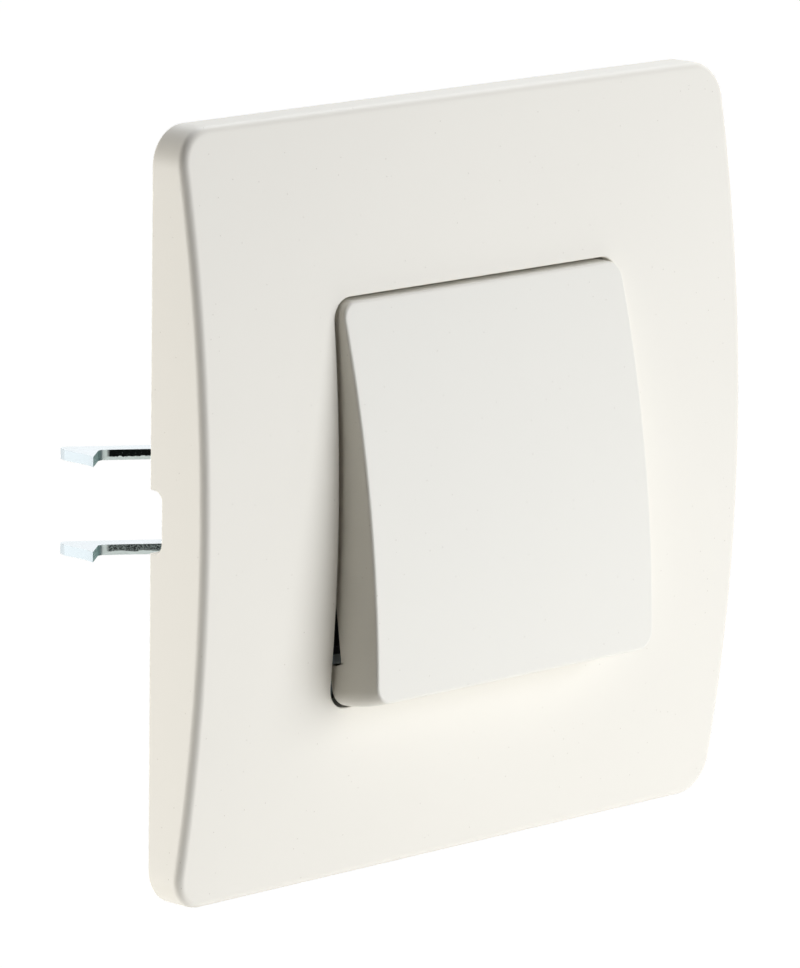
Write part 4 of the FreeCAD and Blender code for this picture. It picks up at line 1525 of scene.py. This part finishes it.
@dataclass
class Mechanism:
    """The housing and what works inside it."""

    nodes: dict[str, bpy.types.Object]
    edge: float = 0.3
    return_spring: CoilSpring = field(
        default_factory=lambda: CoilSpring("return_spring", "base", 8.65, 18.0, 2.45, 6.0)
    )
    contact_spring: CoilSpring = field(
        default_factory=lambda: CoilSpring("contact_spring", "plunger_group", 1.8, 7.0, 2.35, 3.5)
    )
    plunger_travel: float = 3.1

    def build(self) -> None:
        """Copy the covers with softer edges, coil the springs and finish the rest."""
        for node in ("mechanism_housing", "rear_cover", "bearing_plate"):
            piece = merged_copy(self.nodes[node], f"{node}_moulded", self.edge)
            install(piece, "base", GREY_PLASTIC, [node])
        self.contact_spring.build()
        spring = self.return_spring
        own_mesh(spring.build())
        finishes = {
            WHITE_NYLON: ("rocker_yoke", "plunger"),
            SPRING_STEEL: (
                "rocker_axle",
                "bridge_retainer",
                "clamp_spring_left",
                "clamp_spring_right",
            ),
            BRASS: ("terminal_left", "terminal_right", "contact_bridge"),
            SILVER: tuple(
                f"{kind}_contact_{side.label}" for kind in ("fixed", "bridge") for side in Side
            ),
        }
        for finish, names in finishes.items():
            for node in names:
                finish.dress(self.nodes[node])
                LOG.info("%s: %s", node, finish.name)


@dataclass(frozen=True)
class Softbox:
    """A square lamp that faces the switch.

    Args:
        name: The lamp's name.
        direction: Which way it lies from the switch.
        level: Share of plain light that a surface square to it gets.
        colour: Its colour.
        distance: How far it stands.
        side: Its size.
    """

    name: str
    direction: tuple[float, float, float]
    level: float
    colour: str = "#ffffff"
    distance: float = 650.0
    side: float = 480.0

    def build(self) -> None:
        """Place the lamp, with a power of pi squared times level times distance squared."""
        data = bpy.data.lights.new(self.name, "AREA")
        data.shape = "SQUARE"
        data.size = self.side * MM
        data.color = linear(self.colour)[:3]
        data.energy = math.pi**2 * self.level * (self.distance * MM) ** 2
        lamp = bpy.data.objects.new(self.name, data)
        away = Vector(self.direction).normalized()
        place = away * self.distance * MM
        lamp.matrix_world = Matrix.LocRotScale(place, away.to_track_quat("Z", "Y"), None)
        lamp.visible_camera = False
        bpy.context.scene.collection.objects.link(lamp)
        LOG.info("%s: %.2f W", self.name, data.energy)


@dataclass
class Studio:
    """Softboxes on four sides over a pale floor, in a white room that gives little light itself."""

    floor_z: float = -420.0
    floor_half: float = 3000.0
    floor_colour: str = "#b4b2ae"
    floor_glow: tuple[float, float] = (0.45, 1.0)
    floor_near: tuple[float, float] = (250.0, 700.0)
    fill_colour: str = "#2a2114"
    room_colour: str = "#ffffff"
    lamps: tuple[Softbox, ...] = (
        Softbox("softbox_front", (0.44, -0.89, 0.07), 1.22, "#f6f9ff", 560.0, 560.0),
        Softbox("softbox_behind", (-0.75, 0.61, -0.25), 1.1, "#ffffff", 560.0, 420.0),
        Softbox("softbox_above", (0.45, 0.32, 0.83), 0.94, "#f4f8ff"),
        Softbox("softbox_below", (0.25, -0.27, -0.93), 0.43, "#ffffff", 390.0, 340.0),
    )

    def seen(self, tree: Tree) -> Socket:
        """Tell rays that look at the background, straight or in a mirror, from those that light.

        Args:
            tree: A material's or the world's tree.

        Returns:
            A socket that is 1 for a looking ray.
        """
        path = add_node(tree, "ShaderNodeLightPath")
        direct = add_node(
            tree,
            "ShaderNodeMath",
            {0: path.outputs["Is Camera Ray"], 1: path.outputs["Is Glossy Ray"]},
            operation="MAXIMUM",
        )
        either = add_node(
            tree,
            "ShaderNodeMath",
            {0: direct.outputs["Value"], 1: path.outputs["Is Transmission Ray"]},
            operation="MAXIMUM",
        )
        return either.outputs["Value"]

    def build_world(self) -> None:
        """Fill the shadows a little from all round, and show white to rays that look."""
        world = bpy.data.worlds.new("White room")
        bpy.context.scene.world = world
        world.use_nodes = True
        tree = world.node_tree
        tree.nodes.clear()
        colour = add_node(
            tree,
            "ShaderNodeMix",
            {
                SHARE: self.seen(tree),
                UNDER: linear(self.fill_colour),
                OVER: linear(self.room_colour),
            },
            data_type="RGBA",
        )
        shown = {"Color": colour.outputs[MIXED], "Strength": 1.0}
        back = add_node(tree, "ShaderNodeBackground", shown)
        add_node(tree, "ShaderNodeOutputWorld", {"Surface": back.outputs["Background"]})

    def build_floor(self) -> None:
        """Lay a pale floor that looks white, less so near the switch, where it keeps the shadow."""
        corners = np.array([(-1.0, -1.0), (1.0, -1.0), (1.0, 1.0), (-1.0, 1.0)]) * self.floor_half
        flat = np.insert(corners, Axis.Z.value, self.floor_z, axis=1)
        floor = make_object("studio_floor", [Skin(flat, [np.array([[0, 1, 2, 3]])])])
        material = bpy.data.materials.new("Pale studio floor")
        material.use_nodes = True
        tree = material.node_tree
        tree.nodes.clear()
        place = add_node(tree, "ShaderNodeTexCoord").outputs["Object"]
        level = add_node(
            tree, "ShaderNodeVectorMath", {0: place, 1: (1.0, 1.0, 0.0)}, operation="MULTIPLY"
        )
        away = add_node(tree, "ShaderNodeVectorMath", {0: level.outputs[0]}, operation="LENGTH")
        (near, far), (shaded, white) = self.floor_near, self.floor_glow
        bright = add_node(
            tree,
            "ShaderNodeMapRange",
            {
                "Value": away.outputs["Value"],
                "From Min": near * MM,
                "From Max": far * MM,
                "To Min": shaded,
                "To Max": white,
            },
        ).outputs["Result"]
        glow = add_node(
            tree, "ShaderNodeMath", {0: self.seen(tree), 1: bright}, operation="MULTIPLY"
        )
        paint = add_node(
            tree,
            "ShaderNodeBsdfPrincipled",
            {
                "Base Color": linear(self.floor_colour),
                "Roughness": 0.9,
                "Specular IOR Level": 0.0,
                "Emission Color": linear(self.room_colour),
                "Emission Strength": glow.outputs["Value"],
            },
        )
        add_node(tree, "ShaderNodeOutputMaterial", {"Surface": paint.outputs["BSDF"]})
        floor.data.materials.append(material)

    def build(self) -> None:
        """Make the world, the floor and the lamps."""
        self.build_world()
        self.build_floor()
        for lamp in self.lamps:
            lamp.build()


@dataclass
class PhotoCamera:
    """A long lens in front of the switch, to its left and a little above it."""

    azimuth_deg: float = -45.68
    elevation_deg: float = 11.17
    roll_deg: float = 0.74
    distance: float = 753.62
    target: tuple[float, float, float] = (-4.10, 0.0, -0.92)
    lens: float = 269.99
    sensor: float = 36.0
    clip: tuple[float, float] = (10.0, 50000.0)

    def build(self) -> None:
        """Place the camera on its line of sight and roll it about that line."""
        azimuth, elevation = math.radians(self.azimuth_deg), math.radians(self.elevation_deg)
        back = np.array(
            [
                math.sin(azimuth) * math.cos(elevation),
                -math.cos(azimuth) * math.cos(elevation),
                math.sin(elevation),
            ]
        )
        right = np.cross((0.0, 0.0, 1.0), back)
        right /= np.linalg.norm(right)
        up = np.cross(back, right)
        roll = math.radians(self.roll_deg)
        cosine, sine = math.cos(roll), math.sin(roll)
        axes = np.eye(4)
        axes[:3, 0] = cosine * right + sine * up
        axes[:3, 1] = cosine * up - sine * right
        axes[:3, 2] = back
        axes[:3, 3] = (np.array(self.target) + back * self.distance) * MM
        data = bpy.data.cameras.new("photo_camera")
        data.lens = self.lens
        data.sensor_width = self.sensor
        data.clip_start, data.clip_end = (end * MM for end in self.clip)
        camera = bpy.data.objects.new("photo_camera", data)
        camera.matrix_world = Matrix(axes.tolist())
        bpy.context.scene.collection.objects.link(camera)
        bpy.context.scene.camera = camera


def main() -> None:
    """Load the CAD model, dress each sub-assembly, and set up the studio and the camera."""
    logging.basicConfig(level=logging.INFO, format="%(name)s %(message)s")
    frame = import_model()
    CoverPlate().build()
    Button().build()
    Fixings(nodes=frame["nodes"]).build()
    Mechanism(nodes=frame["nodes"]).build()
    Studio().build()
    PhotoCamera().build()
    bpy.context.scene.view_settings.view_transform = "Standard"


if __name__ == "__main__":
    main()
